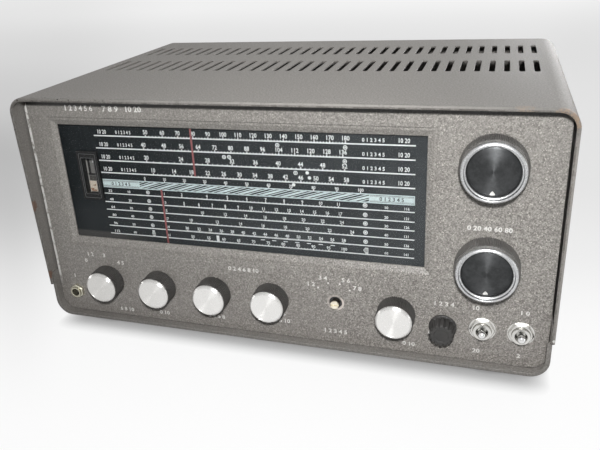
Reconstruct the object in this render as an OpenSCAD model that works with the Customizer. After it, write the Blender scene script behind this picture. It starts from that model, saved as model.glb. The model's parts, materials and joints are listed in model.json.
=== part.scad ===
// Table-top communications receiver: steel cabinet, slide-rule dial, knobs, switches and works.
// Millimetres. X runs right, Y runs back and Z runs up. The origin is on the table, under the
// middle of the set. Inside the modules, Y is measured from the face of the front panel and Z from
// the underside of the tray, which at_panel() carries to their places.

/* [Cabinet] */
// Width over the cover
cabinet_w = 380; // [360:1:460]
// Height from the underside of the tray to the top of the cover
cabinet_h = 182; // [182:1:230]
// Depth of the cover along its top
cabinet_d = 245; // [240:1:320]
// Thickness of the cover, tray and rear sheets
sheet_t = 1.2; // [1:0.1:1.6]
// Outer radius of the cover's upper corners
top_r = 12; // [8:1:16]
// Outer radius of the tray's lower corners
tray_r = 13; // [8:0.1:16]
// Reach of the cover in front of the panel at the top
overhang_top = 13.5; // [11:0.5:18]
// Reach of the cover in front of the panel at tray level
overhang_bottom = 9; // [9:0.5:11]
// Reach of the tray in front of the panel
tray_overhang = 8.5; // [6:0.5:8.5]
// Height of the lower edge of the cover's sides
side_z = 28; // [20:1:34]
// Height over which the cover laps outside the tray
lap_h = 9; // [6:1:14]
// Width of the folded rim round the front of the cover
cover_rim = 2.6; // [2:0.2:6]
// Width of the folded rim along the front of the tray
tray_rim = 3.2; // [2:0.2:4]
// Distance of the rear sheet inside the cover's rear edge
rear_recess = 6; // [4:1:12]
// Height of a rubber foot
foot_h = 8; // [5:1:14]
// Diameter of a rubber foot
foot_d = 22; // [16:1:30]
// Distance of the feet from the sides of the cabinet
foot_side = 40; // [25:1:60]
// Distance of the feet from the panel and from the rear sheet
foot_end = 22; // [18:1:40]

/* [Vents] */
// Number of slots in each row
slot_count = 35; // [20:1:35]
// Distance from slot to slot
slot_pitch = 10; // [9:0.5:10]
// Width of a slot
slot_w = 4; // [2:0.5:5]
// Front end of the front row, behind the panel
front_slot_y = 87; // [60:1:90]
// Length of a slot in the front row
front_slot_l = 41.5; // [20:0.5:50]
// Front end of the rear row, behind the panel
rear_slot_y = 158.5; // [150:0.5:170]
// Length of a slot in the rear row
rear_slot_l = 36.5; // [20:0.5:45]

/* [Front panel] */
// Thickness of the front panel
panel_t = 2; // [1.5:0.1:2.4]
// Gap between the edge of the panel and the sheets round it
panel_gap = 0.4; // [0.2:0.1:1]
// Distance of the dial opening from the left edge of the cabinet
window_left = 26.3; // [24:0.1:30]
// Distance of the dial opening from the right edge of the cabinet
window_right = 84; // [82:0.5:95]
// Lower edge of the dial opening
window_z0 = 68; // [67:0.5:72]
// Upper edge of the dial opening
window_z1 = 159; // [150:0.5:160]
// Width of the sloping frame pressed round the opening
bevel_w = 6.2; // [4:0.1:6.5]
// Depth of the sloping frame
bevel_d = 3; // [1:0.5:3]

/* [Controls] */
// Diameter of all control shafts
shaft_d = 6; // [5:0.1:7.2]
// Running clearance round a turning shaft, on the radius
run_gap = 0.05; // [0.03:0.01:0.1]
// Height of the row of small knobs
knob_z = 33; // [28:0.1:39.6]
// Distance of the first small knob from the left edge
first_knob = 51; // [48:1:56]
// Distance from small knob to small knob
knob_pitch = 45.5; // [42:0.5:46]
// Distance of the last small knob from the right edge
last_knob = 101.7; // [100:0.1:104]
// Diameter of a small knob at the panel
knob_d = 26.4; // [22:0.2:28]
// Length of a small knob with its cap
knob_l = 15.5; // [12:0.5:16]
// Thickness of the aluminium cap on a small knob
cap_t = 2; // [1:0.1:3]
// Gap between the panel and the back of a knob
knob_lift = 1; // [0.5:0.1:2]
// Distance of the band selector shaft from the left edge
selector_x = 235.2; // [233:0.1:240]
// Height of the band selector shaft
selector_z = 35; // [30:0.5:42]
// Reach of the bare selector shaft in front of the panel
selector_reach = 4; // [3:0.5:12]
// Diameter of the panel hole round the selector shaft
selector_hole_d = 9.4; // [8:0.2:12]
// Distance of the trimmer knob from the right edge
trim_x = 70.2; // [69:0.1:71]
// Height of the trimmer knob
trim_z = 26.4; // [25:0.1:28]
// Diameter of the trimmer knob
trim_knob_d = 18.4; // [15:0.2:19]
// Length of the trimmer knob
trim_knob_l = 13; // [10:0.5:16]
// Distance of the left toggle from the right edge
toggle_left = 44.6; // [43:0.1:46]
// Distance of the right toggle from the right edge
toggle_right = 20.2; // [20:0.1:21]
// Height of the toggles
toggle_z = 27.5; // [25:0.5:30]
// Diameter of a toggle bushing
toggle_bush_d = 11.9; // [11:0.1:12.5]
// Width across the flats of a toggle nut
toggle_nut_w = 14.3; // [13:0.1:15]
// Length of a toggle lever from its pivot
toggle_lever_l = 15.2; // [12:0.2:17]
// Tilt of a toggle lever from level in either position
toggle_tilt = 12; // [8:1:14]
// Distance of the headphone jack from the left edge
jack_x = 18; // [17:0.5:24]
// Height of the headphone jack
jack_z = 18.9; // [16:0.1:22]
// Bore of the headphone jack
jack_bore_d = 6.5; // [6.4:0.1:6.8]
// Diameter of the jack's threaded bushing
jack_bush_d = 9; // [8.5:0.1:9.5]
// Width across the flats of the jack nut
jack_nut_w = 11; // [10.5:0.1:12.7]

/* [Tuning] */
// Diameter of a tuning knob at the panel
tuning_knob_d = 40.8; // [36:0.2:44]
// Length of a tuning knob
tuning_knob_l = 16.5; // [16:0.5:20]
// Outer diameter of the bright ring on a tuning knob
ring_d = 38.2; // [34:0.2:40]
// Width of the bright ring
ring_w = 3.2; // [2:0.1:4]
// Distance of the tuning shafts from the right edge
tuning_x = 44.2; // [43:0.1:46]
// Height of the main tuning shaft
main_z = 75.8; // [75:0.1:78]
// Height of the band spread shaft
spread_z = 143.3; // [140:0.1:146]
// Travel of both pointers
pointer_travel = 157; // [120:1:160]
// Length of the main pointer inside the dial opening
main_pointer_l = 37; // [30:0.5:44]
// Length of the spread pointer inside the dial opening
spread_pointer_l = 42; // [30:0.5:48]
// Place of the main pointer, from the left end of its travel
main_rest = 36.5; // [0:0.5:150]
// Place of the spread pointer, from the left end of its travel
spread_rest = 7.5; // [0:0.5:150]
// Left end of both pointers' travel, from the left edge
travel_start = 96; // [94:0.5:100]
// Diameter of a dial cord
cord_d = 0.8; // [0.6:0.1:1]

/* [Works] */
// Gap between the top of the chassis deck and the sloping frame of the dial opening
deck_gap = 7.8; // [6.5:0.1:10]
// Thickness of the chassis sheet
chassis_t = 1.5; // [1.2:0.1:2]
// Height of the capacitor shafts above the middle of the dial opening
capacitor_rise = 4.5; // [3:0.5:6]
// Diameter of a tube's glass
tube_d = 19; // [18:0.5:22]
// Diameter of the cord inlet's bore
inlet_d = 7; // [5:0.5:9]

/* [Hidden] */

$fn = 64;
left = -cabinet_w / 2;
right = cabinet_w / 2;
rear_y = cabinet_d - overhang_top;
panel_y = -(tuning_knob_l + rear_y) / 2 + tuning_knob_l;
rake = atan((overhang_top - overhang_bottom) / cabinet_h);
lap_gap = 0.1;
cut = 1;
tray_w = cabinet_w - 2 * (sheet_t + lap_gap);
panel_w = tray_w - 2 * (sheet_t + panel_gap);
panel_z0 = sheet_t + panel_gap;
panel_z1 = cabinet_h - sheet_t - panel_gap;
rear_sheet_y = rear_y - rear_recess - sheet_t;
deck_z = window_z0 - bevel_w - deck_gap;

window_x0 = left + window_left;
window_x1 = right - window_right;
bevel_sheet = 1;

knob_x = [for (i = [0:3]) left + first_knob + i * knob_pitch];
volume_x = right - last_knob;
control_x = concat(knob_x, [volume_x]);
selector = left + selector_x;
trim = right - trim_x;
toggle_x = [right - toggle_left, right - toggle_right];
jack = left + jack_x;
tuning = right - tuning_x;
shaft_r = shaft_d / 2;
bore_r = shaft_r + run_gap;
bush_d = 9.4;
bush_reach = 2.6;
knob_recess_d = 19;
knob_recess = 3.6;
can_y = panel_t + chassis_t;
can_d = 24;
can_l = 12;

glass_y = bevel_d + bevel_sheet;
glass_t = 2;
glass_lap = 7;
needle_y = glass_y + glass_t + 1.2;
needle_t = 0.6;
plate_y = needle_y + needle_t + 1.2;
plate_t = 1.2;
main_y = 15;
spread_y = 22;
bracket_y = 30;
bracket_t = 1.5;
bracket_top = panel_z1 - 2;

cord_r = cord_d / 2;
cord_gap = 0.3;
drum_path_r = pointer_travel / PI;
drum_groove_r = drum_path_r - cord_r - cord_gap;
drum_t = 5;
shaft_path_r = shaft_r + cord_r + cord_gap;
stud_r = 4;
stud_path_r = stud_r + cord_r + 0.2;
carriage_l = 14;
stud_x = [left + travel_start - carriage_l - 4, tuning - 25.8];
upper_stud_z = window_z1 + 7.5;
lower_stud_z = deck_z + 13;
main_drum_x = tuning - 95.8;
spread_drum_x = tuning - 203.8;
capacitor_z = (window_z0 + window_z1) / 2 + capacitor_rise;
rail_r = 1.5;
upper_rail_z = window_z1 + 16.5;
lower_rail_z = deck_z + 4.3;
main_tip_z = window_z1 - main_pointer_l;
spread_tip_z = window_z0 + spread_pointer_l;
main_pointer_x = left + travel_start + main_rest;
spread_pointer_x = left + travel_start + spread_rest;

meter_x = left + 44.5;
meter_z = (window_z0 + window_z1) / 2 + 4.3;
meter_w = 17.6;
meter_h = 38.6;
meter_window_w = 10.4;
meter_window_h = 28;
meter_front = plate_y - 2.6;
meter_axis_y = 34;
meter_back_y = 42;
meter_wall = 1.6;
meter_face_r = 21.6;
coil_offset = 0.65;

capacitor_y = 42;
capacitor_w = 60;
frame_t = 2;
rotor_r = 26;
plate_pitch = 4;
plate_sheet = 0.8;
main_sections = 17;
spread_sections = 12;

wafer_gap = 1;
wafer_r = deck_z - chassis_t - wafer_gap - selector_z;
wafer_y = [32, 58, 84];

// Places of the tubes and cans, from the left edge of the cabinet and from the panel
tube_places = [for (p = [[70, 70], [70, 105], [70, 140], [70, 175], [115, 150], [155, 165],
                         [195, 165], [235, 165], [210, 205]]) [left + p[0], p[1]]];
tube_heights = [46, 46, 46, 46, 46, 46, 46, 46, 60];
socket_lift = 4;
can_places = [for (p = [[40, 88], [40, 123], [95, 190], [135, 200]]) [left + p[0], p[1]]];
can_w = 21;
can_h = 46;

// Parts below are drawn from the panel's face and the tray's underside
module at_panel() {
    translate([0, panel_y, foot_h]) children();
}

// Extrudes a drawing in X and Z from depth y0 to depth y1
module along_y(y0, y1) {
    translate([0, y1, 0]) rotate([90, 0, 0]) linear_extrude(y1 - y0) children();
}

// Cylinder along Y from y0 to y1
module rod(x, z, y0, y1, r) {
    translate([x, y1, z]) rotate([90, 0, 0]) cylinder(r = r, h = y1 - y0);
}

// Turned shape: the outline holds pairs of radius and reach towards the front
module turned(x, z, y) {
    translate([x, y, z]) rotate([90, 0, 0]) rotate_extrude($fn = 96) children();
}

// Upright box between two corners
module block(x0, x1, y0, y1, z0, z1) {
    translate([x0, y0, z0]) cube([x1 - x0, y1 - y0, z1 - z0]);
}

// Arch with rounded upper corners
module arch(w, z0, z1, r) {
    translate([-w / 2, z0]) square([w, z1 - r - z0]);
    translate([-w / 2 + r, z0]) square([w - 2 * r, z1 - z0]);
    for (s = [-1, 1]) translate([s * (w / 2 - r), z1 - r]) circle(r = r);
}

// Trough with rounded lower corners
module trough(w, z0, z1, r) {
    translate([-w / 2, z0 + r]) square([w, z1 - r - z0]);
    translate([-w / 2 + r, z0]) square([w - 2 * r, z1 - z0]);
    for (s = [-1, 1]) intersection() {
        translate([s * (w / 2 - r), z0 + r]) circle(r = r);
        translate([-w / 2, z0]) square([w, r]);
    }
}

// Everything in front of the cover's raked front edge
module in_front_of_cover() {
    translate([0, -overhang_bottom, 0]) rotate([rake, 0, 0])
        translate([-cabinet_w, -60, -20]) cube([2 * cabinet_w, 60, 2 * cabinet_h]);
}

// Slab of sheet along the cover's raked front edge
module raked_slab() {
    translate([0, -overhang_bottom, 0]) rotate([rake, 0, 0])
        translate([-cabinet_w, 0, -20]) cube([2 * cabinet_w, sheet_t, 2 * cabinet_h]);
}

// Ring of the cover's outline, wall wide
module cover_ring(wall) {
    difference() {
        arch(cabinet_w, side_z, cabinet_h, top_r);
        arch(cabinet_w - 2 * wall, side_z - cut, cabinet_h - wall, max(top_r - wall, 1));
    }
}

module slot_row(y, l) {
    for (i = [0 : slot_count - 1]) {
        x = (i - (slot_count - 1) / 2) * slot_pitch - slot_w / 2;
        translate([x, y + slot_w / 2]) square([slot_w, l - slot_w]);
        for (end = [slot_w / 2, l - slot_w / 2]) {
            translate([x + slot_w / 2, y + end]) circle(d = slot_w, $fn = 24);
        }
    }
}

side_screw_y = [foot_end, (rear_sheet_y + foot_end) / 2, rear_sheet_y - foot_end];
side_screw_z = side_z + lap_h / 2;
rear_screw_x = [left + 18, right - 18];
rear_screw_z = [16, deck_z - 10];
screw_r = 1.5;
screw_head_r = 3;
screw_head_t = 1.8;
screw_l = 5;

module case_cover() {
    color("#8b867f") at_panel() {
        difference() {
            union() {
                difference() {
                    along_y(-overhang_top - 2, rear_y) cover_ring(sheet_t);
                    in_front_of_cover();
                }
                intersection() {
                    along_y(-overhang_top - 2, 0) cover_ring(cover_rim);
                    raked_slab();
                }
            }
            translate([0, 0, cabinet_h - sheet_t - cut]) linear_extrude(sheet_t + 2 * cut) {
                slot_row(front_slot_y, front_slot_l);
                slot_row(rear_slot_y, rear_slot_l);
            }
            for (y = side_screw_y) {
                translate([left - cut, y, side_screw_z]) rotate([0, 90, 0])
                    cylinder(r = screw_r, h = cabinet_w + 2 * cut);
            }
        }
    }
}

// Outline of the tray, wall wide, up to height z
module tray_ring(wall, z) {
    difference() {
        trough(tray_w, 0, z, tray_r);
        trough(tray_w - 2 * wall, wall, z + cut, max(tray_r - wall, 1));
    }
}

module bottom_tray() {
    lap_front = tray_overhang - 2;
    color("#85807a") at_panel() {
        difference() {
            union() {
                along_y(-tray_overhang, rear_y) tray_ring(sheet_t, side_z);
                along_y(-lap_front, rear_y - 2) tray_ring(sheet_t, side_z + lap_h);
                along_y(-tray_overhang, -tray_overhang + sheet_t) tray_ring(tray_rim, side_z - 0.4);
            }
            for (y = side_screw_y) {
                translate([left - cut, y, side_screw_z]) rotate([0, 90, 0])
                    cylinder(r = screw_r, h = cabinet_w + 2 * cut);
            }
        }
    }
}

strip_x = [-70, -10];
strip_z = [18, 36];
strip_t = 4;
strip_screws = 4;
inlet_x = right - 70;
inlet_z = 26;
grommet_r = 7;
grommet_flange_r = 9;
grommet_flange_t = 1.5;
grommet_lip_t = 1.2;
inlet_clearance = 1;

module rear_panel() {
    color("#6e6a65") at_panel() {
        difference() {
            along_y(rear_sheet_y, rear_sheet_y + sheet_t) intersection() {
                arch(panel_w, 0, panel_z1, max(top_r - sheet_t, 1));
                trough(panel_w, panel_z0, cabinet_h, max(tray_r - sheet_t, 1));
            }
            for (i = [0 : 17], z = [80, 120]) {
                translate([(i - 8.5) * 18 - 2.5, rear_sheet_y - cut, z])
                    cube([5, sheet_t + 2 * cut, 28]);
            }
            rod(inlet_x, inlet_z, rear_sheet_y - cut, rear_sheet_y + sheet_t + cut, grommet_r);
            for (x = rear_screw_x, z = rear_screw_z) {
                rod(x, z, rear_sheet_y - cut, rear_sheet_y + sheet_t + cut, screw_r);
            }
        }
    }
}

// Round holes that the controls need, from y0 to y1
module control_holes(y0, y1) {
    for (x = control_x) rod(x, knob_z, y0, y1, bush_d / 2);
    rod(selector, selector_z, y0, y1, selector_hole_d / 2);
    rod(trim, trim_z, y0, y1, bush_d / 2);
    for (x = toggle_x) rod(x, toggle_z, y0, y1, toggle_bush_d / 2);
    rod(jack, jack_z, y0, y1, jack_bush_d / 2);
}

// Four-sided funnel from the bevel's outer edge at depth y0 to its inner edge at depth y1
module funnel(y0, y1, grow) {
    hull() {
        block(window_x0 - bevel_w - grow, window_x1 + bevel_w + grow, y0 - 0.01, y0,
            window_z0 - bevel_w - grow, window_z1 + bevel_w + grow);
        block(window_x0 - grow, window_x1 + grow, y1, y1 + 0.01, window_z0 - grow, window_z1 + grow);
    }
}

module front_panel() {
    color("#8f8a84") at_panel() {
        difference() {
            union() {
                difference() {
                    along_y(0, panel_t) intersection() {
                        arch(panel_w, 0, panel_z1, max(top_r - sheet_t, 1));
                        trough(panel_w, panel_z0, cabinet_h, max(tray_r - sheet_t, 1));
                    }
                    block(window_x0 - bevel_w, window_x1 + bevel_w, -cut, panel_t + cut,
                        window_z0 - bevel_w, window_z1 + bevel_w);
                }
                funnel(bevel_sheet, glass_y - 0.01, bevel_sheet);
            }
            funnel(0, bevel_d + 0.01, 0);
            block(window_x0, window_x1, -cut, glass_y + cut, window_z0, window_z1);
            control_holes(-cut, panel_t + cut);
            for (z = [main_z, spread_z]) rod(tuning, z, -cut, panel_t + cut, bush_d / 2);
        }
    }
}

// Round-headed screw whose head sits at the origin and whose shank runs along -Z
module screw() {
    cylinder(r = screw_head_r, h = screw_head_t);
    translate([0, 0, -screw_l]) cylinder(r = screw_r, h = screw_l + 0.1);
}

module cabinet_screws() {
    color("#b9b6ae") at_panel() {
        for (s = [-1, 1], y = side_screw_y) {
            translate([s * cabinet_w / 2, y, side_screw_z]) rotate([0, s * 90, 0]) screw();
        }
        for (x = rear_screw_x, z = rear_screw_z) {
            translate([x, rear_sheet_y + sheet_t, z]) rotate([-90, 0, 0]) screw();
        }
    }
}

foot_x = cabinet_w / 2 - foot_side;
foot_y = [foot_end, rear_sheet_y - foot_end];

module rubber_feet() {
    color("#232323") at_panel() {
        for (x = [-foot_x, foot_x], y = foot_y) {
            translate([x, y, -foot_h]) cylinder(d1 = foot_d - 3, d2 = foot_d, h = foot_h);
        }
    }
}

chassis_side = 6;
chassis_w = tray_w - 2 * chassis_side;
transformer_x = right - 68;
transformer_y = 165;
transformer_w = 72;
transformer_d = 62;

// Deck on a front and a rear apron whose lower corners follow the tray's, with sides that end above
module chassis() {
    x0 = -chassis_w / 2;
    x1 = chassis_w / 2;
    inner = chassis_t;
    color("#9b9d9b") at_panel() {
        difference() {
            along_y(panel_t, rear_sheet_y) translate([0, sheet_t])
                trough(chassis_w, 0, deck_z - sheet_t, tray_r - chassis_side);
            block(x0 + inner, x1 - inner, panel_t + inner, rear_sheet_y - inner, 0, deck_z - inner);
            block(x0 - cut, x1 + cut, panel_t + inner, rear_sheet_y - inner, 0, tray_r);
            control_holes(panel_t - cut, panel_t + chassis_t + cut);
            for (p = tube_places) {
                translate([p[0], p[1], deck_z - 5]) cylinder(d = tube_d - 2, h = 10);
            }
            for (x = rear_screw_x, z = rear_screw_z) {
                rod(x, z, rear_sheet_y - 5, rear_sheet_y + cut, screw_r);
            }
            rod(inlet_x, inlet_z, rear_sheet_y - 5, rear_sheet_y + cut,
                grommet_flange_r + inlet_clearance);
        }
    }
}

plate_x0 = window_x0 - 6;
plate_x1 = window_x1 + 10;
plate_z0 = window_z0 - 6;
plate_z1 = window_z1 + 12;

module dial_glass() {
    color("#d8e2e0", 0.4) at_panel() {
        block(window_x0 - glass_lap, window_x1 + glass_lap, glass_y, glass_y + glass_t,
            window_z0 - glass_lap, window_z1 + glass_lap);
    }
}

post_inset = 5;
post_places = [[plate_x0 + post_inset, plate_z0 + 8], [plate_x0 + post_inset, plate_z1 - 11],
               [plate_x1 - post_inset, plate_z0 + 38], [plate_x1 - post_inset, plate_z1 - 11]];
post_r = 2.5;

module dial_plate() {
    color("#20262a") at_panel() {
        difference() {
            block(plate_x0, plate_x1, plate_y, plate_y + plate_t, plate_z0, plate_z1);
            block(meter_x - meter_w / 2, meter_x + meter_w / 2, plate_y - cut, plate_y + plate_t + cut,
                meter_z - meter_h / 2, meter_z + meter_h / 2);
        }
    }
}

// Grooved stud that a dial cord runs over, with its stem back to the bracket
module guide_stud(x, z, y) {
    turned(x, z, bracket_y + 0.1) {
        polygon([[0, 0], [3, 0], [3, bracket_y - y - 3], [stud_r + 1.4, bracket_y - y - 2],
            [stud_r + 1.4, bracket_y - y - 1.2], [stud_r, bracket_y - y - 0.6],
            [stud_r, bracket_y - y + 0.8], [stud_r + 1.4, bracket_y - y + 1.4],
            [stud_r + 1.4, bracket_y - y + 2], [0, bracket_y - y + 2]]);
    }
}

// Rail that a pointer's carriage slides on, with an arm at each end back to the bracket
module rail(z, y) {
    x0 = left + travel_start - carriage_l;
    x1 = left + travel_start + pointer_travel + carriage_l;
    translate([x0, y, z]) rotate([0, 90, 0]) cylinder(r = rail_r, h = x1 - x0);
    for (x = [x0 - 2, x1 - 1]) block(x, x + 3, y - 3, bracket_y + 0.1, z - 2.5, z + 2.5);
}

module dial_bracket() {
    bearing_r = 6;
    color("#a5a6a0") at_panel() {
        difference() {
            union() {
                block(-chassis_w / 2 + 4, chassis_w / 2 - 4, bracket_y, bracket_y + bracket_t,
                    deck_z, bracket_top);
                block(-chassis_w / 2 + 4, chassis_w / 2 - 4, bracket_y, bracket_y + 9,
                    deck_z, deck_z + bracket_t);
                for (z = [main_z, spread_z]) rod(tuning, z, bracket_y - 6, bracket_y + 6, bearing_r);
                for (p = post_places) rod(p[0], p[1], plate_y + plate_t, bracket_y + 0.1, post_r);
            }
            for (z = [main_z, spread_z]) rod(tuning, z, bracket_y - 10, bracket_y + 10, bore_r);
            for (x = [main_drum_x, spread_drum_x]) {
                rod(x, capacitor_z, bracket_y - cut, bracket_y + bracket_t + cut, 8);
            }
            block(meter_x - meter_w / 2, meter_x + meter_w / 2, bracket_y - cut,
                bracket_y + bracket_t + cut, meter_z - meter_h / 2, meter_z + meter_h / 2);
        }
        for (x = stud_x) {
            guide_stud(x, upper_stud_z, main_y);
            guide_stud(x, lower_stud_z, spread_y);
        }
        rail(upper_rail_z, main_y);
        rail(lower_rail_z, spread_y);
    }
}

lamp_places = [[meter_x, plate_z1 - 15], [meter_x, plate_z0 + 16], [plate_x1 - post_inset, 125]];

module dial_lamps() {
    color("#e8dcae") at_panel() {
        for (p = lamp_places) {
            rod(p[0], p[1], bracket_y - 9, bracket_y, 4.5);
            translate([p[0], bracket_y - 12, p[1]]) sphere(r = 4);
        }
    }
}

// Pointer with its carriage on a rail at height z; side is 1 for the upper rail, -1 for the lower
module pointer(x, z, y, tip_z, side) {
    reach = carriage_l / 2;
    arm_z = z + (side > 0 ? -2.5 : -2);
    difference() {
        union() {
            block(x - reach, x + reach, y - 3.4, y + 3.4, z - 3.3, z + 3.3);
            block(x - 2, x + 2, needle_y, y - 3.3, arm_z, arm_z + 3);
            block(x - 0.6, x + 0.6, needle_y, needle_y + needle_t,
                min(tip_z, arm_z), max(tip_z, arm_z + 3));
        }
        translate([x - reach - cut, y, z]) rotate([0, 90, 0])
            cylinder(r = rail_r + run_gap, h = carriage_l + 2 * cut);
    }
}

module main_pointer() {
    color("#b8463f") at_panel() pointer(main_pointer_x, upper_rail_z, main_y, main_tip_z, 1);
}

module spread_pointer() {
    color("#b8463f") at_panel() pointer(spread_pointer_x, lower_rail_z, spread_y, spread_tip_z, -1);
}

// A cord loop runs clockwise round pulleys given as [x, z, radius of the cord's path]. out_normal is
// the outward unit normal of the straight run from pulley a to pulley b, and bend lists the corners
// where the cord bends round pulley b. The cord is one tube with a ring of points at each corner,
// in the plane that halves the corner's angle.
wide_path_r = 20;
wide_step = 10;
tight_step = 20;
cord_sides = 8;
function out_normal(a, b) =
    let (dx = b[0] - a[0], dz = b[1] - a[1], l = norm([dx, dz]))
    let (ux = dx / l, uz = dz / l, c = (a[2] - b[2]) / l, s = sqrt(1 - c * c))
    [ux * c - uz * s, uz * c + ux * s];
function bend(a, b, c) =
    let (arrive = out_normal(a, b), leave = out_normal(b, c))
    let (from = atan2(arrive[1], arrive[0]), to = atan2(leave[1], leave[0]))
    let (turn = (from - to + 720) % 360, step = b[2] > wide_path_r ? wide_step : tight_step)
    let (steps = ceil(turn / step))
    [for (k = [0 : steps]) let (t = from - turn * k / steps)
        [b[0] + b[2] * cos(t), b[1] + b[2] * sin(t)]];
function unit(v) = v / norm(v);
function ring(before, here, after, y) =
    let (arrive = unit(here - before), along = unit(arrive + unit(after - here)))
    let (reach = cord_r / (arrive * along))
    [for (k = [0 : cord_sides - 1]) let (t = 360 * (k + 0.5) / cord_sides)
        [here[0] - along[1] * reach * cos(t), y + cord_r * sin(t), here[1] + along[0] * reach * cos(t)]];

module cord_loop(y, pulleys) {
    n = len(pulleys);
    corners = [for (i = [0 : n - 1], p = bend(pulleys[i], pulleys[(i + 1) % n],
        pulleys[(i + 2) % n])) p];
    count = len(corners);
    points = [for (i = [0 : count - 1], p = ring(corners[(i + count - 1) % count], corners[i],
        corners[(i + 1) % count], y)) p];
    faces = [for (i = [0 : count - 1], k = [0 : cord_sides - 1])
        let (j = (i + 1) % count, m = (k + 1) % cord_sides)
        [i * cord_sides + k, i * cord_sides + m, j * cord_sides + m, j * cord_sides + k]];
    polyhedron(points, faces);
}

module main_dial_cord() {
    color("#c9c2a4") at_panel() cord_loop(main_y, [
        [stud_x[0], upper_stud_z, stud_path_r], [stud_x[1], upper_stud_z, stud_path_r],
        [tuning, main_z, shaft_path_r], [main_drum_x, capacitor_z, drum_path_r]
    ]);
}

module spread_dial_cord() {
    color("#c9c2a4") at_panel() cord_loop(spread_y, [
        [spread_drum_x, capacitor_z, drum_path_r], [tuning, spread_z, shaft_path_r],
        [stud_x[1], lower_stud_z, stud_path_r], [stud_x[0], lower_stud_z, stud_path_r]
    ]);
}

module meter_case() {
    x0 = meter_x - meter_w / 2;
    x1 = meter_x + meter_w / 2;
    z0 = meter_z - meter_h / 2;
    z1 = meter_z + meter_h / 2;
    color("#2c2c2e") at_panel() {
        difference() {
            block(x0, x1, meter_front, meter_back_y, z0, z1);
            block(x0 + meter_wall, x1 - meter_wall, meter_front + meter_wall,
                meter_back_y - meter_wall, z0 + meter_wall, z1 - meter_wall);
            block(meter_x - meter_window_w / 2, meter_x + meter_window_w / 2, meter_front - cut,
                meter_front + meter_wall + cut, meter_z - meter_window_h / 2,
                meter_z + meter_window_h / 2);
        }
        for (s = [0, 1]) {
            translate([s ? x1 - meter_wall - 1 : x0 + meter_wall - 0.1, meter_axis_y, meter_z])
                rotate([0, 90, 0]) cylinder(r = 1.2, h = 1.1);
        }
    }
}

module meter_face() {
    x0 = meter_x - meter_w / 2 + meter_wall;
    face_w = meter_w - 2 * meter_wall - 3.2;
    color("#e3d6b4") at_panel() {
        intersection() {
            difference() {
                translate([x0, meter_axis_y, meter_z]) rotate([0, 90, 0])
                    cylinder(r = meter_face_r, h = face_w);
                translate([x0 - cut, meter_axis_y, meter_z]) rotate([0, 90, 0])
                    cylinder(r = meter_face_r - 0.8, h = face_w + 2 * cut);
            }
            block(x0, x0 + face_w, meter_front, meter_axis_y,
                meter_z - meter_h / 2 + meter_wall, meter_z + meter_h / 2 - meter_wall);
        }
    }
}

// Needle on its cross axle; its coil sits a little behind the axle and balances the arm
module meter_needle() {
    x1 = meter_x + meter_w / 2 - meter_wall - 1;
    x0 = meter_x - meter_w / 2 + meter_wall + 1;
    arm_x = x1 - 1.2;
    tip_y = meter_axis_y - meter_face_r - 1;
    color("#181818") at_panel() {
        translate([x0 + 0.1, meter_axis_y, meter_z]) rotate([0, 90, 0])
            cylinder(r = 1, h = x1 - x0 - 0.2);
        translate([meter_x - 3.5, meter_axis_y + coil_offset, meter_z]) rotate([0, 90, 0])
            cylinder(r = 5, h = 6);
        block(arm_x - 0.4, arm_x + 0.4, tip_y, meter_axis_y, meter_z - 0.4, meter_z + 0.4);
        block(meter_x - 4, arm_x + 0.4, tip_y - 0.4, tip_y + 0.4, meter_z - 0.4, meter_z + 0.4);
    }
}

ring_t = 4.5;
disc_recess = 3.8;
disc_rise = 1.5;

// Moulded tuning knob seated for the bright ring, with a slightly domed disc sunk inside it
module tuning_knob(z) {
    seat = tuning_knob_l - ring_t;
    centre_r = ring_d / 2 - ring_w;
    color("#1c1c1d") at_panel() difference() {
        turned(tuning, z, 0) polygon(concat(
            [[0, knob_lift], [tuning_knob_d / 2 - 0.6, knob_lift], [tuning_knob_d / 2, knob_lift + 0.6],
                [tuning_knob_d / 2 - 0.5, seat - 0.4], [tuning_knob_d / 2 - 1, seat],
                [centre_r, seat]],
            [for (i = [0 : 8]) let (r = centre_r * (8 - i) / 8)
                [r, tuning_knob_l - disc_recess + disc_rise * (1 - pow(r / centre_r, 2))]]
        ));
        rod(tuning, z, -tuning_knob_l + 5.5, 0, shaft_r);
        rod(tuning, z, -knob_recess, 0, knob_recess_d / 2);
    }
}

module tuning_ring(z) {
    outer = ring_d / 2;
    seat = tuning_knob_l - ring_t;
    color("#c8cacb") at_panel() turned(tuning, z, 0) polygon([
        [outer - ring_w, seat], [outer, seat], [outer, tuning_knob_l - 1.4],
        [outer - 0.9, tuning_knob_l - 0.3], [outer - ring_w / 2, tuning_knob_l],
        [outer - ring_w + 0.2, tuning_knob_l - 0.2], [outer - ring_w, tuning_knob_l - 0.6]
    ]);
}

flywheel_r = 19;
flywheel_t = 12;

module tuning_shaft(z) {
    wheel_y = bracket_y + 7;
    color("#a89a72") at_panel() {
        rod(tuning, z, -tuning_knob_l + 5.5, wheel_y + flywheel_t + 2, shaft_r);
        difference() {
            rod(tuning, z, wheel_y, wheel_y + flywheel_t, flywheel_r);
            rod(tuning, z, wheel_y + flywheel_t - 4, wheel_y + flywheel_t + cut, flywheel_r - 4);
        }
        rod(tuning, z, wheel_y, wheel_y + flywheel_t, 7);
    }
}

module main_tuning_knob() { tuning_knob(main_z); }
module main_tuning_ring() { tuning_ring(main_z); }
module main_tuning_shaft() { tuning_shaft(main_z); }
module band_spread_knob() { tuning_knob(spread_z); }
module band_spread_ring() { tuning_ring(spread_z); }
module band_spread_shaft() { tuning_shaft(spread_z); }

// Half disc in X and Z, on the left of its centre when turn is 0
module half_disc(r, turn) {
    rotate([0, 0, turn]) intersection() {
        circle(r = r);
        translate([-r - cut, -r - cut]) square([r + cut, 2 * (r + cut)]);
    }
}

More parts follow.
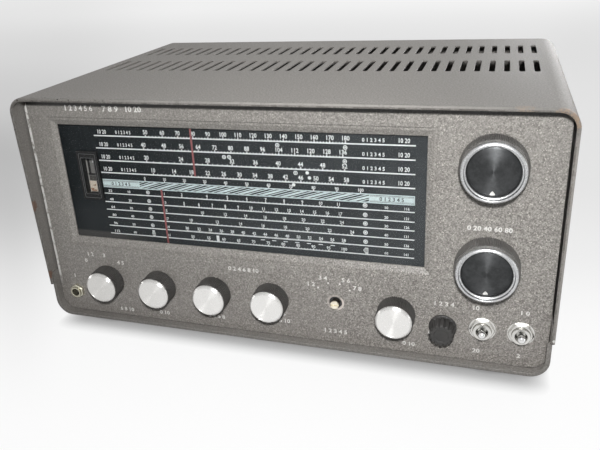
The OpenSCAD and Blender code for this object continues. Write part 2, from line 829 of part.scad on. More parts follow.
// Frame with end plates that stand on the deck, and the fixed plates in it
module capacitor_frame(x, count) {
    l = count * plate_pitch + 8;
    half = capacitor_w / 2;
    hub_gap = 8;
    color("#a7a9a6") at_panel() {
        difference() {
            union() {
                for (y = [capacitor_y, capacitor_y + l - frame_t]) {
                    block(x - half, x + half, y, y + frame_t, deck_z, capacitor_z + half);
                }
                block(x - half, x + half, capacitor_y, capacitor_y + l,
                    capacitor_z - half - frame_t, capacitor_z - half);
            }
            rod(x, capacitor_z, capacitor_y - cut, capacitor_y + l + cut, bore_r);
        }
        for (z = [-18, 18]) {
            rod(x - half + 2.5, capacitor_z + z, capacitor_y, capacitor_y + l, 1.5);
        }
        for (i = [0 : count - 1]) {
            y = capacitor_y + 4 + (i + 0.5) * plate_pitch;
            along_y(y, y + plate_sheet) translate([x, capacitor_z]) difference() {
                translate([-half + 1, -rotor_r]) square([half - 1, 2 * rotor_r]);
                circle(r = hub_gap);
                translate([-4, -rotor_r - cut]) square([8, 2 * rotor_r + 2 * cut]);
            }
        }
    }
}

// Shaft with its moving plates, and the cord drum on its front end
module capacitor_rotor(x, drum_y, count, turn) {
    l = count * plate_pitch + 8;
    hub_r = 5;
    front = drum_y - drum_t / 2;
    color("#b4b4ae") at_panel() {
        rod(x, capacitor_z, front, capacitor_y + l + 4, shaft_r);
        rod(x, capacitor_z, capacitor_y + frame_t + 0.5, capacitor_y + l - frame_t - 0.5, hub_r);
        for (i = [1 : count - 1]) {
            y = capacitor_y + 4 + i * plate_pitch;
            along_y(y, y + plate_sheet) translate([x, capacitor_z]) half_disc(rotor_r, turn);
        }
    }
    color("#c2b280") at_panel() turned(x, capacitor_z, drum_y + drum_t / 2) polygon([
        [shaft_r, 0], [drum_groove_r + 2, 0], [drum_groove_r + 2, 0.8], [drum_groove_r, 1.6],
        [drum_groove_r, drum_t - 1.6], [drum_groove_r + 2, drum_t - 0.8],
        [drum_groove_r + 2, drum_t], [drum_groove_r - 5, drum_t], [drum_groove_r - 5, 1.5],
        [8, 1.5], [8, drum_t], [shaft_r, drum_t]
    ]);
}

drum_sweep = 180;
main_turn = main_rest / pointer_travel * drum_sweep;
spread_turn = -spread_rest / pointer_travel * drum_sweep;

module main_capacitor_frame() { capacitor_frame(main_drum_x, main_sections); }
module spread_capacitor_frame() { capacitor_frame(spread_drum_x, spread_sections); }
module main_capacitor_rotor() {
    capacitor_rotor(main_drum_x, main_y, main_sections, -main_turn);
}
module spread_capacitor_rotor() {
    capacitor_rotor(spread_drum_x, spread_y, spread_sections, -spread_turn);
}

// Moulded body of a small knob, hollowed at the back to clear the bushing and its nut
module small_knob(x) {
    r = knob_d / 2;
    front = knob_l - cap_t;
    color("#1b1b1c") at_panel() difference() {
        turned(x, knob_z, 0) polygon([
            [0, knob_lift], [r - 0.4, knob_lift], [r, knob_lift + 0.4],
            [r - 0.35, front - 0.3], [r - 0.65, front], [0, front]
        ]);
        rod(x, knob_z, -front + 2, 0, shaft_r);
        rod(x, knob_z, -knob_recess, 0, knob_recess_d / 2);
    }
}

module small_cap(x) {
    r = knob_d / 2 - 0.7;
    color("#d4d3d0") at_panel() turned(x, knob_z, 0) polygon([
        [0, knob_l - cap_t], [r, knob_l - cap_t], [r, knob_l - 1.1], [r - 1.1, knob_l], [0, knob_l]
    ]);
}

module small_shaft(x) {
    color("#b59b5c") at_panel() rod(x, knob_z, -(knob_l - cap_t - 2), can_y + 6, shaft_r);
}

module function_knob() { small_knob(control_x[0]); }
module gain_knob() { small_knob(control_x[1]); }
module selectivity_knob() { small_knob(control_x[2]); }
module frequency_knob() { small_knob(control_x[3]); }
module volume_knob() { small_knob(control_x[4]); }
module function_cap() { small_cap(control_x[0]); }
module gain_cap() { small_cap(control_x[1]); }
module selectivity_cap() { small_cap(control_x[2]); }
module frequency_cap() { small_cap(control_x[3]); }
module volume_cap() { small_cap(control_x[4]); }
module function_shaft() { small_shaft(control_x[0]); }
module gain_shaft() { small_shaft(control_x[1]); }
module selectivity_shaft() { small_shaft(control_x[2]); }
module frequency_shaft() { small_shaft(control_x[3]); }
module volume_shaft() { small_shaft(control_x[4]); }

module control_bodies() {
    tag_w = 2.4;
    color("#7f8385") at_panel() {
        for (x = control_x) {
            difference() {
                union() {
                    rod(x, knob_z, -bush_reach, can_y + 1, bush_d / 2);
                    rod(x, knob_z, can_y, can_y + can_l, can_d / 2 - 2);
                    for (i = [-1 : 1]) {
                        block(x + i * 6 - tag_w / 2, x + i * 6 + tag_w / 2,
                            can_y + 4, can_y + 5, knob_z - can_d / 2 - 3, knob_z);
                    }
                }
                rod(x, knob_z, -bush_reach - cut, can_y + 7, bore_r);
            }
        }
    }
}

clip_y = 0.8;
clip_w = 0.8;

// Bare shaft with a groove for a retaining clip behind its end
module band_selector_shaft() {
    color("#bfae7a") at_panel() {
        difference() {
            union() {
                rod(selector, selector_z, -selector_reach, -clip_y, shaft_r);
                rod(selector, selector_z, -clip_y - 0.1, -clip_y + clip_w + 0.1, shaft_r - 0.6);
                rod(selector, selector_z, -clip_y + clip_w, wafer_y[2] + 6, shaft_r);
            }
            block(selector - shaft_r - cut, selector + shaft_r + cut, -selector_reach - cut,
                -selector_reach + 1, selector_z - 0.5, selector_z + 0.5);
        }
    }
}

module band_selector_switch() {
    spacer_x = 12;
    color("#8a6a3c") at_panel() {
        difference() {
            union() {
                rod(selector, selector_z, panel_t, can_y + 2, selector_hole_d / 2);
                block(selector - wafer_r, selector + wafer_r, can_y, can_y + 2,
                    selector_z - 12, selector_z + 12);
                for (y = wafer_y) rod(selector, selector_z, y, y + 2, wafer_r);
                for (s = [-1, 1]) {
                    rod(selector + s * spacer_x, selector_z, can_y, wafer_y[2] + 4, 1.5);
                }
            }
            rod(selector, selector_z, 0, wafer_y[2] + 8, bore_r);
        }
    }
}

flute_count = 14;

module antenna_trim_knob() {
    r = trim_knob_d / 2;
    color("#1a1a1b") at_panel() difference() {
        turned(trim, trim_z, 0) polygon([
            [0, knob_lift], [r, knob_lift], [r, knob_lift + 1.6], [r - 0.9, knob_lift + 2.2],
            [r - 1.2, trim_knob_l - 0.8], [r - 2, trim_knob_l], [0, trim_knob_l]
        ]);
        for (i = [0 : flute_count - 1]) {
            a = (i + 0.5) * 360 / flute_count;
            rod(trim + (r - 0.4) * cos(a), trim_z + (r - 0.4) * sin(a),
                -trim_knob_l - cut, -knob_lift - 2.2, 1.1);
        }
        rod(trim, trim_z, -trim_knob_l + 3, 0, shaft_r);
        rod(trim, trim_z, -knob_recess, 0, bush_d / 2 + 1);
    }
}

trim_plates = 4;
trim_rotor_r = 8;
trim_l = 20;

module antenna_trim_rotor() {
    color("#b4b4ae") at_panel() {
        rod(trim, trim_z, -trim_knob_l + 3, can_y + trim_l, shaft_r);
        for (i = [1 : trim_plates]) {
            y = can_y + 1 + i * 3.4;
            along_y(y, y + plate_sheet) translate([trim, trim_z]) half_disc(trim_rotor_r, 0);
        }
    }
}

module antenna_trim_frame() {
    half = 10.5;
    color("#d9d2c0") at_panel() {
        difference() {
            union() {
                rod(trim, trim_z, -bush_reach, can_y + 1, bush_d / 2);
                for (y = [can_y, can_y + trim_l - 3.5]) {
                    block(trim - half, trim + half, y, y + 2, trim_z - half, trim_z + half);
                }
                block(trim - half, trim + half, can_y, can_y + trim_l - 1.5,
                    trim_z - half, trim_z - half + 1.5);
            }
            rod(trim, trim_z, -bush_reach - cut, can_y + trim_l + cut, bore_r);
        }
        rod(trim - half + 2, trim_z + 4, can_y + 1, can_y + trim_l - 2, 0.8);
        for (i = [1 : trim_plates - 1]) {
            y = can_y + 2.7 + i * 3.4;
            along_y(y, y + plate_sheet) translate([trim, trim_z]) difference() {
                translate([-half + 0.8, -half + 1]) square([half - 2, 2 * half - 3]);
                circle(r = shaft_r + 1.4);
            }
        }
    }
}

toggle_pivot_y = 1;
toggle_ball_r = 3.6;
toggle_bush_bore_r = 4;
toggle_bush_reach = 4.6;

// Bat lever on its ball, tilted up from level
module toggle_lever(x) {
    l = toggle_lever_l;
    color("#d9d9d6") at_panel() translate([x, toggle_pivot_y, toggle_z]) rotate([-toggle_tilt, 0, 0]) {
        sphere(r = toggle_ball_r);
        rotate([90, 0, 0]) rotate_extrude() polygon([[0, 0], [1.6, 0], [1.7, 5], [2.7, l - 2.7],
            [2.7, l - 2.4], [0, l - 2.4]]);
        translate([0, -(l - 2.7), 0]) sphere(r = 2.7);
        rotate([-90, 0, 0]) cylinder(r = 1.5, h = 7);
    }
}

module left_toggle_lever() { toggle_lever(toggle_x[0]); }
module right_toggle_lever() { toggle_lever(toggle_x[1]); }

module toggle_switches() {
    body_l = 16;
    color("#6b4a34") at_panel() {
        for (x = toggle_x) {
            difference() {
                union() {
                    rod(x, toggle_z, -toggle_bush_reach, can_y + 1, toggle_bush_d / 2);
                    block(x - 6.5, x + 6.5, can_y, can_y + body_l, toggle_z - 13, toggle_z + 13);
                }
                rod(x, toggle_z, -toggle_bush_reach - cut, toggle_pivot_y + 5, toggle_bush_bore_r);
                block(x - 3, x + 3, toggle_pivot_y + 2, toggle_pivot_y + 10, toggle_z - 6, toggle_z + 6);
            }
        }
    }
}

nut_t = 2.4;

// Six-sided nut round a bushing, standing on the panel's face
module nut(x, z, flats, hole_d, start) {
    difference() {
        translate([x, 0, z]) rotate([90, start, 0]) cylinder(d = flats / cos(30), h = nut_t, $fn = 6);
        rod(x, z, -nut_t - cut, cut, hole_d / 2);
    }
}

module panel_nuts() {
    color("#c9cbc8") at_panel() {
        for (x = toggle_x) nut(x, toggle_z, toggle_nut_w, toggle_bush_d, 0);
        nut(jack, jack_z, jack_nut_w, jack_bush_d, 30);
    }
}

jack_reach = 3.6;
jack_l = 26;

module phone_jack() {
    color("#bdbdb6") at_panel() {
        difference() {
            union() {
                rod(jack, jack_z, -jack_reach, can_y + 1, jack_bush_d / 2);
                block(jack - 6, jack + 6, can_y, can_y + jack_l, jack_z - 7, jack_z + 7);
            }
            rod(jack, jack_z, -jack_reach - cut, can_y + jack_l - 2, jack_bore_d / 2);
        }
    }
}

core_h = 60;
bell_inset = 7;

module power_transformer() {
    x0 = transformer_x - transformer_w / 2;
    x1 = transformer_x + transformer_w / 2;
    y0 = transformer_y - transformer_d / 2;
    y1 = transformer_y + transformer_d / 2;
    stack = 14;
    color("#3b3c40") at_panel() {
        block(x0, x1, y0 + stack, y1 - stack, deck_z, deck_z + core_h);
        block(x0 + bell_inset, x1 - bell_inset, y0, y1, deck_z, deck_z + core_h - bell_inset);
    }
}

module tubes() {
    color("#b9c4c4", 0.6) at_panel() {
        for (i = [0 : len(tube_places) - 1]) {
            p = tube_places[i];
            h = tube_heights[i];
            translate([p[0], p[1], deck_z + socket_lift]) rotate_extrude() {
                difference() {
                    union() {
                        square([tube_d / 2, h - tube_d / 2]);
                        translate([0, h - tube_d / 2]) circle(d = tube_d);
                        translate([0, h - 1]) square([1.6, 4]);
                    }
                    translate([-tube_d, -cut]) square([tube_d, h + tube_d]);
                }
            }
        }
    }
}

module tube_sockets() {
    color("#5a4632") at_panel() {
        for (p = tube_places) {
            translate([p[0], p[1], deck_z]) cylinder(d = tube_d + 4, h = socket_lift);
            translate([p[0], p[1], deck_z - 9]) cylinder(d = tube_d - 2, h = 9.5);
        }
    }
}

module if_cans() {
    color("#c3c5c4") at_panel() {
        for (p = can_places) {
            block(p[0] - can_w / 2, p[0] + can_w / 2, p[1] - can_w / 2, p[1] + can_w / 2,
                deck_z, deck_z + can_h);
        }
    }
}

module terminal_strip() {
    y0 = rear_sheet_y + sheet_t;
    step = (strip_x[1] - strip_x[0]) / strip_screws;
    color("#4a3524") at_panel() {
        block(strip_x[0], strip_x[1], y0, y0 + strip_t, strip_z[0], strip_z[1]);
    }
    color("#c0bda8") at_panel() {
        for (i = [0 : strip_screws - 1]) {
            rod(strip_x[0] + (i + 0.5) * step, (strip_z[0] + strip_z[1]) / 2, y0 + strip_t,
                y0 + strip_t + 1.8, 3.5);
        }
    }
}

module cord_grommet() {
    color("#1e1e1e") at_panel() difference() {
        union() {
            rod(inlet_x, inlet_z, rear_sheet_y, rear_sheet_y + sheet_t, grommet_r);
            rod(inlet_x, inlet_z, rear_sheet_y + sheet_t, rear_sheet_y + sheet_t + grommet_flange_t,
                grommet_flange_r);
            rod(inlet_x, inlet_z, rear_sheet_y - grommet_lip_t, rear_sheet_y, grommet_flange_r);
        }
        rod(inlet_x, inlet_z, rear_sheet_y - 10, rear_sheet_y + 10, inlet_d / 2);
    }
}

case_cover();
bottom_tray();
rear_panel();
front_panel();
cabinet_screws();
rubber_feet();
chassis();
dial_glass();
dial_plate();
dial_bracket();
dial_lamps();
main_pointer();
spread_pointer();
main_dial_cord();
spread_dial_cord();
meter_case();
meter_face();
meter_needle();
main_tuning_knob();
main_tuning_ring();
main_tuning_shaft();
band_spread_knob();
band_spread_ring();
band_spread_shaft();
main_capacitor_frame();
main_capacitor_rotor();
spread_capacitor_frame();
spread_capacitor_rotor();
function_knob();
gain_knob();
selectivity_knob();
frequency_knob();
volume_knob();
function_cap();
gain_cap();
selectivity_cap();
frequency_cap();
volume_cap();
function_shaft();
gain_shaft();
selectivity_shaft();
frequency_shaft();
volume_shaft();
control_bodies();
band_selector_shaft();
band_selector_switch();
antenna_trim_knob();
antenna_trim_rotor();
antenna_trim_frame();
left_toggle_lever();
right_toggle_lever();
toggle_switches();
panel_nuts();
phone_jack();
power_transformer();
tubes();
tube_sockets();
if_cans();
terminal_strip();
cord_grommet();
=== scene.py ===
import json
import math

import bmesh
import bpy
from mathutils import Matrix, Vector


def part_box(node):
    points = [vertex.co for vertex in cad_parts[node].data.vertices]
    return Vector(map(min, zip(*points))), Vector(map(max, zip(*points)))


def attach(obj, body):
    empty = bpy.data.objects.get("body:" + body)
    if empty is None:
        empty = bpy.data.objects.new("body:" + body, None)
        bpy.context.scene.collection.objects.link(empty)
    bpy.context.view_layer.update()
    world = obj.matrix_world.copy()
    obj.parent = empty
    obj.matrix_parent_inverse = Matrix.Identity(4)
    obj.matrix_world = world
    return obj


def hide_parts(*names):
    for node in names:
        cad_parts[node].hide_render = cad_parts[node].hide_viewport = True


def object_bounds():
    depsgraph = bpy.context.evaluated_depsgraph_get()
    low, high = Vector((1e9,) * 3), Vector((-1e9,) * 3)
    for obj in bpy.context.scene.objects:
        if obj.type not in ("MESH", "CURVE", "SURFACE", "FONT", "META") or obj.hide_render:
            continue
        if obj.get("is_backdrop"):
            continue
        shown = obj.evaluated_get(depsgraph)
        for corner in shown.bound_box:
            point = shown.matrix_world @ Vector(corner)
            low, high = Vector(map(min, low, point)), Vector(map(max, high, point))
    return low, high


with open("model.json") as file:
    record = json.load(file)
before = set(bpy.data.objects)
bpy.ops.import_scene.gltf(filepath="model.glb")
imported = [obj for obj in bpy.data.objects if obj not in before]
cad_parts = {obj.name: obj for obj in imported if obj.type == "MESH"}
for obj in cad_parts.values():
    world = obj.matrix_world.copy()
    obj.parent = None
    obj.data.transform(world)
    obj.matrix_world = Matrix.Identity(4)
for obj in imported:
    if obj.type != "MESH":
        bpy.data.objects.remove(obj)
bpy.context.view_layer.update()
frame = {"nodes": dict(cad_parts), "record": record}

# Shapes are written in millimetres: x to the right, y back from the panel's face, z up from the
# underside of the tray.
MM = 0.001
PANEL_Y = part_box("front_panel")[0].y / MM
TRAY_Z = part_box("bottom_tray")[0].z / MM
TO_ROW = Matrix.Scale(MM, 4) @ Matrix.Translation((0, PANEL_Y, TRAY_Z))
NODES = frame["nodes"]
scene = bpy.context.scene


def at(x, y, z):
    """A point in the row frame, in metres."""
    return TO_ROW @ Vector((x, y, z))


def facing_front(x, z, y=0.0):
    """Places a shape turned round Z at x, z, with its Z pointing to the front."""
    return Matrix.Translation((x, y, z)) @ Matrix.Rotation(math.pi / 2, 4, "X")


# Camera: a photograph 600 pixels wide, with the lens axis a little off its middle
PHOTO_W = 600
PHOTO_H = 450
FOCAL_PX = 653.06
AXIS_PX = (279.89, 206.15)
SENSOR = 36.0
CAMERA_AT = (145.11, -391.14, 277.46)
CAMERA_TURN = (67.56, 3.372, 17.929)

camera = bpy.data.objects.new("camera", bpy.data.cameras.new("camera"))
scene.collection.objects.link(camera)
camera.location = at(*CAMERA_AT)
camera.rotation_euler = [math.radians(a) for a in CAMERA_TURN]
camera.data.sensor_width = SENSOR
camera.data.lens = SENSOR * FOCAL_PX / PHOTO_W
camera.data.shift_x = (PHOTO_W / 2 - AXIS_PX[0]) / PHOTO_W
camera.data.shift_y = (AXIS_PX[1] - PHOTO_H / 2) / PHOTO_W
camera.data.clip_start = 0.01
camera.data.clip_end = 50
scene.camera = camera
scene.view_settings.view_transform = "Standard"


class Finish:
    """A node material, with short calls for the nodes that the finishes share."""

    def __init__(self, name, colour=(0.5, 0.5, 0.5), rough=0.5, metal=0.0, **sockets):
        self.material = bpy.data.materials.new(name)
        self.material.use_nodes = True
        self.tree = self.material.node_tree
        self.shader = self.tree.nodes["Principled BSDF"]
        self.put("Base Color", (*colour, 1))
        self.put("Roughness", rough)
        self.put("Metallic", metal)
        for key, value in sockets.items():
            self.put(key.replace("_", " "), value)
        self.place = self.node("TexCoord").outputs["Object"]
        self.parts = None
        self.colour = None

    def put(self, socket, value):
        self._feed(self.shader.inputs[socket], value)

    def _feed(self, socket, value):
        if isinstance(value, bpy.types.NodeSocket):
            self.tree.links.new(value, socket)
        else:
            socket.default_value = value

    def node(self, kind, values=(), **settings):
        made = self.tree.nodes.new("ShaderNode" + kind)
        for key, value in settings.items():
            setattr(made, key, value)
        for key, value in dict(values).items():
            self._feed(made.inputs[key], value)
        return made

    def axis(self, name):
        """The object's own X, Y or Z, in metres."""
        if self.parts is None:
            self.parts = self.node("SeparateXYZ", {0: self.place})
        return self.parts.outputs[name]

    def calc(self, what, a, b=0.0):
        return self.node("Math", {0: a, 1: b}, operation=what).outputs[0]

    def noise(self, scale, detail=2.0, rough=0.5, stretch=None):
        place = self.place
        if stretch:
            place = self.node("Mapping", {0: place, 3: stretch}).outputs[0]
        values = {"Vector": place, "Scale": scale, "Detail": detail, "Roughness": rough}
        return self.node("TexNoise", values).outputs[0]

    def cloud(self, scale, detail, rough, low, high):
        """Noise, from 0 where it is below low to 1 where it is above high."""
        return self.step(self.noise(scale, detail, rough), low, high)

    def cells(self, scale):
        return self.node("TexVoronoi", {"Vector": self.place, "Scale": scale}).outputs["Distance"]

    def step(self, value, low, high, out_low=0.0, out_high=1.0):
        """A smooth change from out_low to out_high as value goes from low to high."""
        made = self.node("MapRange", {"Value": value, 1: low, 2: high, 3: out_low, 4: out_high},
                         interpolation_type="SMOOTHSTEP")
        return made.outputs[0]

    def along(self, name, *ends):
        """A smooth change along an axis; the ends are those of step."""
        return self.step(self.axis(name), *ends)

    def past(self, name, place):
        """How far the surface lies past a place in millimetres along an axis, in metres."""
        return self.calc("SUBTRACT", self.axis(name), place * MM)

    def blend(self, fac, a, b):
        made = self.node("Mix", {0: fac}, data_type="RGBA")
        for socket, value in ((made.inputs[6], a), (made.inputs[7], b)):
            self._feed(socket, value if isinstance(value, bpy.types.NodeSocket) else (*value, 1))
        return made.outputs[2]

    def lay(self, fac, colour):
        """Lays a colour over the ones so far."""
        self.colour = self.blend(fac, self.colour, colour)

    def bump(self, height, strength, depth, base=None):
        values = {"Height": height, "Strength": strength, "Distance": depth}
        if base is not None:
            values["Normal"] = base
        return self.node("Bump", values).outputs[0]

    def soft_edges(self, radius):
        return self.node("Bevel", {"Radius": radius}, samples=4).outputs[0]


def both(f, a, b):
    """Two values multiplied: for two masks, the places where both hold."""
    return f.calc("MULTIPLY", a, b)


def reach_of(f, a, b):
    """The length of the diagonal of two sides."""
    return f.calc("SQRT", f.calc("ADD", both(f, a, a), both(f, b, b)))


def scaled(colour, share):
    return tuple(min(1.0, share * v) for v in colour)


def near(f, x, y, z, radius, ragged=0.4, grain=900.0):
    """A ragged spot round a place on the set, from 0 outside to 1 inside."""
    centre = at(x, y, z)
    gap = f.node("VectorMath", {0: f.place, 1: centre}, operation="DISTANCE").outputs["Value"]
    wobble = both(f, f.noise(grain, 3.0, 0.65), ragged * 2 * radius * MM)
    edge = f.calc("ADD", gap, wobble)
    return f.step(edge, radius * MM * (1.0 + ragged), radius * MM * (0.7 + ragged))


SELECTOR_X = 45.2
SELECTOR_Z = 35.0
CABINET_W = 380.0
CABINET_H = 182.0
COVER_R = 12.0
RAKE = (13.5 - 9.0) / CABINET_H
FRONT_LOW = 9.0


def outline_gap(f):
    """How far a place lies inside the cabinet's arch, in metres."""
    x = f.calc("ABSOLUTE", f.axis("X"))
    across = f.calc("MAXIMUM", f.calc("SUBTRACT", x, (CABINET_W / 2 - COVER_R) * MM), 0.0)
    high = f.past("Z", CABINET_H - COVER_R + TRAY_Z)
    high = f.calc("MAXIMUM", high, 0.0)
    return f.calc("SUBTRACT", COVER_R * MM, reach_of(f, across, high))


def front_gap(f):
    """How far a place lies behind the cover's raked front, in metres."""
    lean = both(f, f.past("Z", TRAY_Z), RAKE)
    behind = f.past("Y", PANEL_Y - FRONT_LOW)
    return f.calc("ADD", behind, lean)


def hammered(f, dark, light, grain, contrast, specks):
    """Colour of hammered paint: fine flecks and bright specks over slow mottling. It gives back the
    flecks, for the gloss."""
    fleck = f.cloud(grain, 3.0, 0.6, 0.5 - 0.22 / contrast, 0.5 + 0.22 / contrast)
    f.colour = f.blend(fleck, dark, light)
    slow = f.cloud(28.0, 3.0, 0.55, 0.3, 0.7)
    f.lay(both(f, slow, 0.22), scaled(light, 0.72))
    speck = f.step(f.cells(0.9 * grain), 0.42, 0.16)
    gate = f.cloud(0.35 * grain, 2.0, 0.5, 0.42, 0.62)
    speck = both(f, both(f, speck, gate), specks)
    f.lay(speck, scaled(light, 1.75))
    return fleck


def cabinet_paint():
    """Cabinet: a pale band along the front bend, worn paint with a painted highlight on it, and a dark line
    behind it; painted shade towards the left and on the right of the top; chips, a copper-coloured corner,
    rust and bare spots."""
    f = Finish("cabinet_paint", rough=0.42, Specular_IOR_Level=0.22)
    fleck = hammered(f, (0.190, 0.179, 0.166), (0.312, 0.297, 0.278), 900.0, 0.9, 0.25)
    bend = f.calc("ADD", outline_gap(f), front_gap(f))
    # the pale band along the front bend is worn paint and a painted highlight on the bend, stronger to the
    # right where the light falls
    worn = f.step(bend, 1.4 * MM, 0.8 * MM)
    patch = f.cloud(170.0, 5.0, 0.75, 0.30, 0.50)
    right = f.along("X", -0.19, 0.02, 0.15, 0.75)
    worn = both(f, both(f, worn, patch), right)
    f.lay(worn, (0.37, 0.352, 0.328))
    # painted shade: the cabinet is darker towards the left, where less light falls
    f.lay(f.along("X", -0.02, -0.19, 0.0, 0.35), (0.115, 0.108, 0.100))
    # painted shade: the right of the cover's top is darkened against the light it catches there
    shaded_top_right = both(f, f.along("X", 0.05, 0.18, 0.0, 0.5), f.along("Z", 0.165, 0.185))
    f.lay(shaded_top_right, (0.105, 0.100, 0.093))
    line = both(f, f.step(bend, 1.3 * MM, 1.6 * MM), f.step(bend, 2.6 * MM, 2.1 * MM))
    line = both(f, line, f.cloud(140.0, 4.0, 0.7, 0.44, 0.54))
    f.lay(both(f, line, 0.6), (0.085, 0.078, 0.070))
    chip = f.cloud(330.0, 2.0, 0.6, 0.64, 0.68)
    chip = both(f, both(f, chip, f.step(bend, 5.0 * MM, 2.5 * MM)), f.along("X", -0.06, -0.15))
    f.lay(chip, (0.045, 0.038, 0.032))
    copper = f.calc("MAXIMUM", near(f, 184.0, -12.5, 176.0, 9.0, 0.6, 500.0),
                    both(f, near(f, 160.0, -12.5, 180.5, 6.0, 0.6, 500.0), 0.5))
    copper = both(f, copper, f.cloud(750.0, 3.0, 0.65, 0.36, 0.56))
    copper = both(f, copper, f.step(front_gap(f), 4.5 * MM, 3.0 * MM))
    f.lay(both(f, copper, 0.85), (0.30, 0.225, 0.165))
    rust = both(f, near(f, -188.5, -11.0, 97.0, 5.0, 0.7, 600.0), 0.7)
    rust = f.calc("MAXIMUM", rust, both(f, near(f, -188.5, -9.8, 37.0, 4.0, 0.6, 600.0), 0.8))
    f.lay(rust, (0.165, 0.088, 0.058))
    bare = f.calc("MAXIMUM", near(f, 186.2, -10.0, 36.7, 0.8), near(f, 189.2, -9.8, 30.5, 1.2))
    f.lay(bare, (0.76, 0.75, 0.72))
    f.put("Base Color", f.colour)
    f.put("Roughness", f.step(fleck, 0.0, 1.0, 0.60, 0.48))
    f.put("Normal", f.bump(f.noise(800.0, 2.0, 0.5), 0.25, 0.0002, f.soft_edges(0.0005)))
    return f.material


def panel_paint():
    """Panel: coarse flecks, painted shade under the lip, a pale left edge that is worn bare metal with a
    painted highlight, and a worn ring round the bare shaft.
    """
    f = Finish("panel_paint", rough=0.45)
    fleck = hammered(f, (0.130, 0.121, 0.111), (0.450, 0.428, 0.396), 980.0, 1.0, 0.9)
    strong = f.along("X", -0.17, 0.10, 0.6, 1.0)
    f.colour = f.blend(strong, (0.270, 0.256, 0.238), f.colour)
    low = f.along("Z", 0.085, 0.012)
    f.lay(both(f, low, 0.16), (0.225, 0.190, 0.180))
    f.lay(f.along("Z", 0.09, 0.17, 0.0, 0.26), (0.200, 0.190, 0.175))
    # painted shade: a dark band on the panel just under the cover's lip, where the lip's shadow falls
    painted_shade = f.along("Z", (172.8 + TRAY_Z) * MM, (174.8 + TRAY_Z) * MM, 0.0, 0.9)
    f.lay(painted_shade, (0.012, 0.011, 0.010))
    # a pale line down the panel's left edge: worn bare metal with a painted highlight where the folded edge
    # catches the light
    edge = both(f, f.along("X", -0.18480, -0.18545), f.along("Z", 0.028, 0.046))
    f.lay(both(f, edge, f.cloud(300.0, 3.0, 0.6, 0.34, 0.5)), (0.80, 0.79, 0.76))
    across = f.past("X", SELECTOR_X)
    up = f.past("Z", SELECTOR_Z + TRAY_Z)
    far = reach_of(f, across, up)
    rim = both(f, f.step(far, 6.4 * MM, 6.0 * MM), f.cloud(260.0, 2.0, 0.5, 0.25, 0.45))
    lower_right = f.step(f.calc("SUBTRACT", across, up), -5.0 * MM, 4.0 * MM, 0.45, 1.0)
    f.lay(both(f, rim, lower_right), (0.74, 0.67, 0.62))
    f.put("Base Color", f.colour)
    f.put("Roughness", f.step(fleck, 0.0, 1.0, 0.55, 0.36))
    f.put("Normal", f.bump(f.noise(1000.0, 2.0, 0.5), 0.5, 0.00025, f.soft_edges(0.0007)))
    return f.material


def plain_paint(name, colour, grain=500.0, rough=0.5, spread=0.35):
    f = Finish(name, rough=rough)
    fleck = f.noise(grain, 3.0, 0.6)
    dark = scaled(colour, 1 - spread)
    light = scaled(colour, 1 + spread)
    f.put("Base Color", f.blend(f.step(fleck, 0.3, 0.7), dark, light))
    f.put("Roughness", f.step(f.noise(60.0, 3.0), 0.3, 0.7, rough - 0.07, rough + 0.07))
    f.put("Normal", f.bump(fleck, 0.2, 0.0002, f.soft_edges(0.0004)))
    return f.material


def metal(name, colour, rough, grain=(400.0, 400.0, 400.0), darkening=0.25):
    """Bare or plated metal: fine grain, slow tarnish and rounded edges."""
    f = Finish(name, colour=colour, rough=rough, metal=1.0)
    fine = f.noise(1.0, 3.0, 0.6, stretch=grain)
    slow = f.cloud(45.0, 4.0, 0.6, 0.35, 0.75)
    f.put("Base Color", f.blend(both(f, slow, fine), colour, scaled(colour, 1 - darkening)))
    f.put("Roughness", f.step(fine, 0.25, 0.75, rough * 0.8, rough * 1.25))
    f.put("Normal", f.bump(fine, 0.08, 0.00008, f.soft_edges(0.0003)))
    return f.material


def moulded(name, colour, rough, dust=(0.16, 0.155, 0.15), amount=0.35, gloss=0.5):
    """Moulded plastic or rubber with a little dust and handling wear."""
    f = Finish(name, colour=colour, rough=rough, Specular_IOR_Level=gloss)
    fine = f.noise(1500.0, 3.0, 0.6)
    slow = f.cloud(90.0, 4.0, 0.65, 0.38, 0.72)
    f.put("Base Color", f.blend(both(f, slow, amount), colour, dust))
    f.put("Roughness", f.step(slow, 0.0, 1.0, rough, min(1.0, rough + 0.25)))
    f.put("Normal", f.bump(fine, 0.06, 0.0001, f.soft_edges(0.0004)))
    return f.material


def printing(name, colour, worn, amount=0.35):
    """Printed ink that has thinned in places."""
    f = Finish(name, rough=0.55)
    thin = f.cloud(420.0, 4.0, 0.7, 0.42, 0.72)
    f.put("Base Color", f.blend(both(f, thin, amount), colour, worn))
    return f.material


def clear(name, colour, alpha, rough):
    """Thin clear glass: mostly see-through, with faint smears."""
    f = Finish(name, colour=colour, rough=rough)
    smear = f.cloud(35.0, 4.0, 0.6, 0.35, 0.8)
    haze = f.along("X", -0.16, 0.11, 0.35, 1.6)
    f.put("Alpha", both(f, haze, f.step(smear, 0.0, 1.0, alpha, alpha * 1.6)))
    f.put("Roughness", f.step(smear, 0.0, 1.0, rough, rough + 0.12))
    f.material.surface_render_method = "BLENDED"
    return f.material


def dial_paint():
    """Nearly black scale plate, paler towards its foot."""
    f = Finish("dial_print", rough=0.5)
    tone = f.cloud(900.0, 3.0, 0.6, 0.3, 0.7)
    f.colour = f.blend(tone, (0.006, 0.008, 0.009), (0.014, 0.018, 0.020))
    f.lay(f.along("Z", 0.125, 0.080), (0.026, 0.030, 0.032))
    foot = both(f, f.along("Z", 0.0800, 0.0772), f.along("X", -0.09, -0.14))
    f.lay(foot, (0.085, 0.083, 0.080))
    f.put("Base Color", f.colour)
    f.put("Roughness", f.step(f.noise(60.0), 0.3, 0.7, 0.5, 0.7))
    f.put("Specular IOR Level", 0.1)
    return f.material


METER_X = -145.5
METER_Z = 117.8


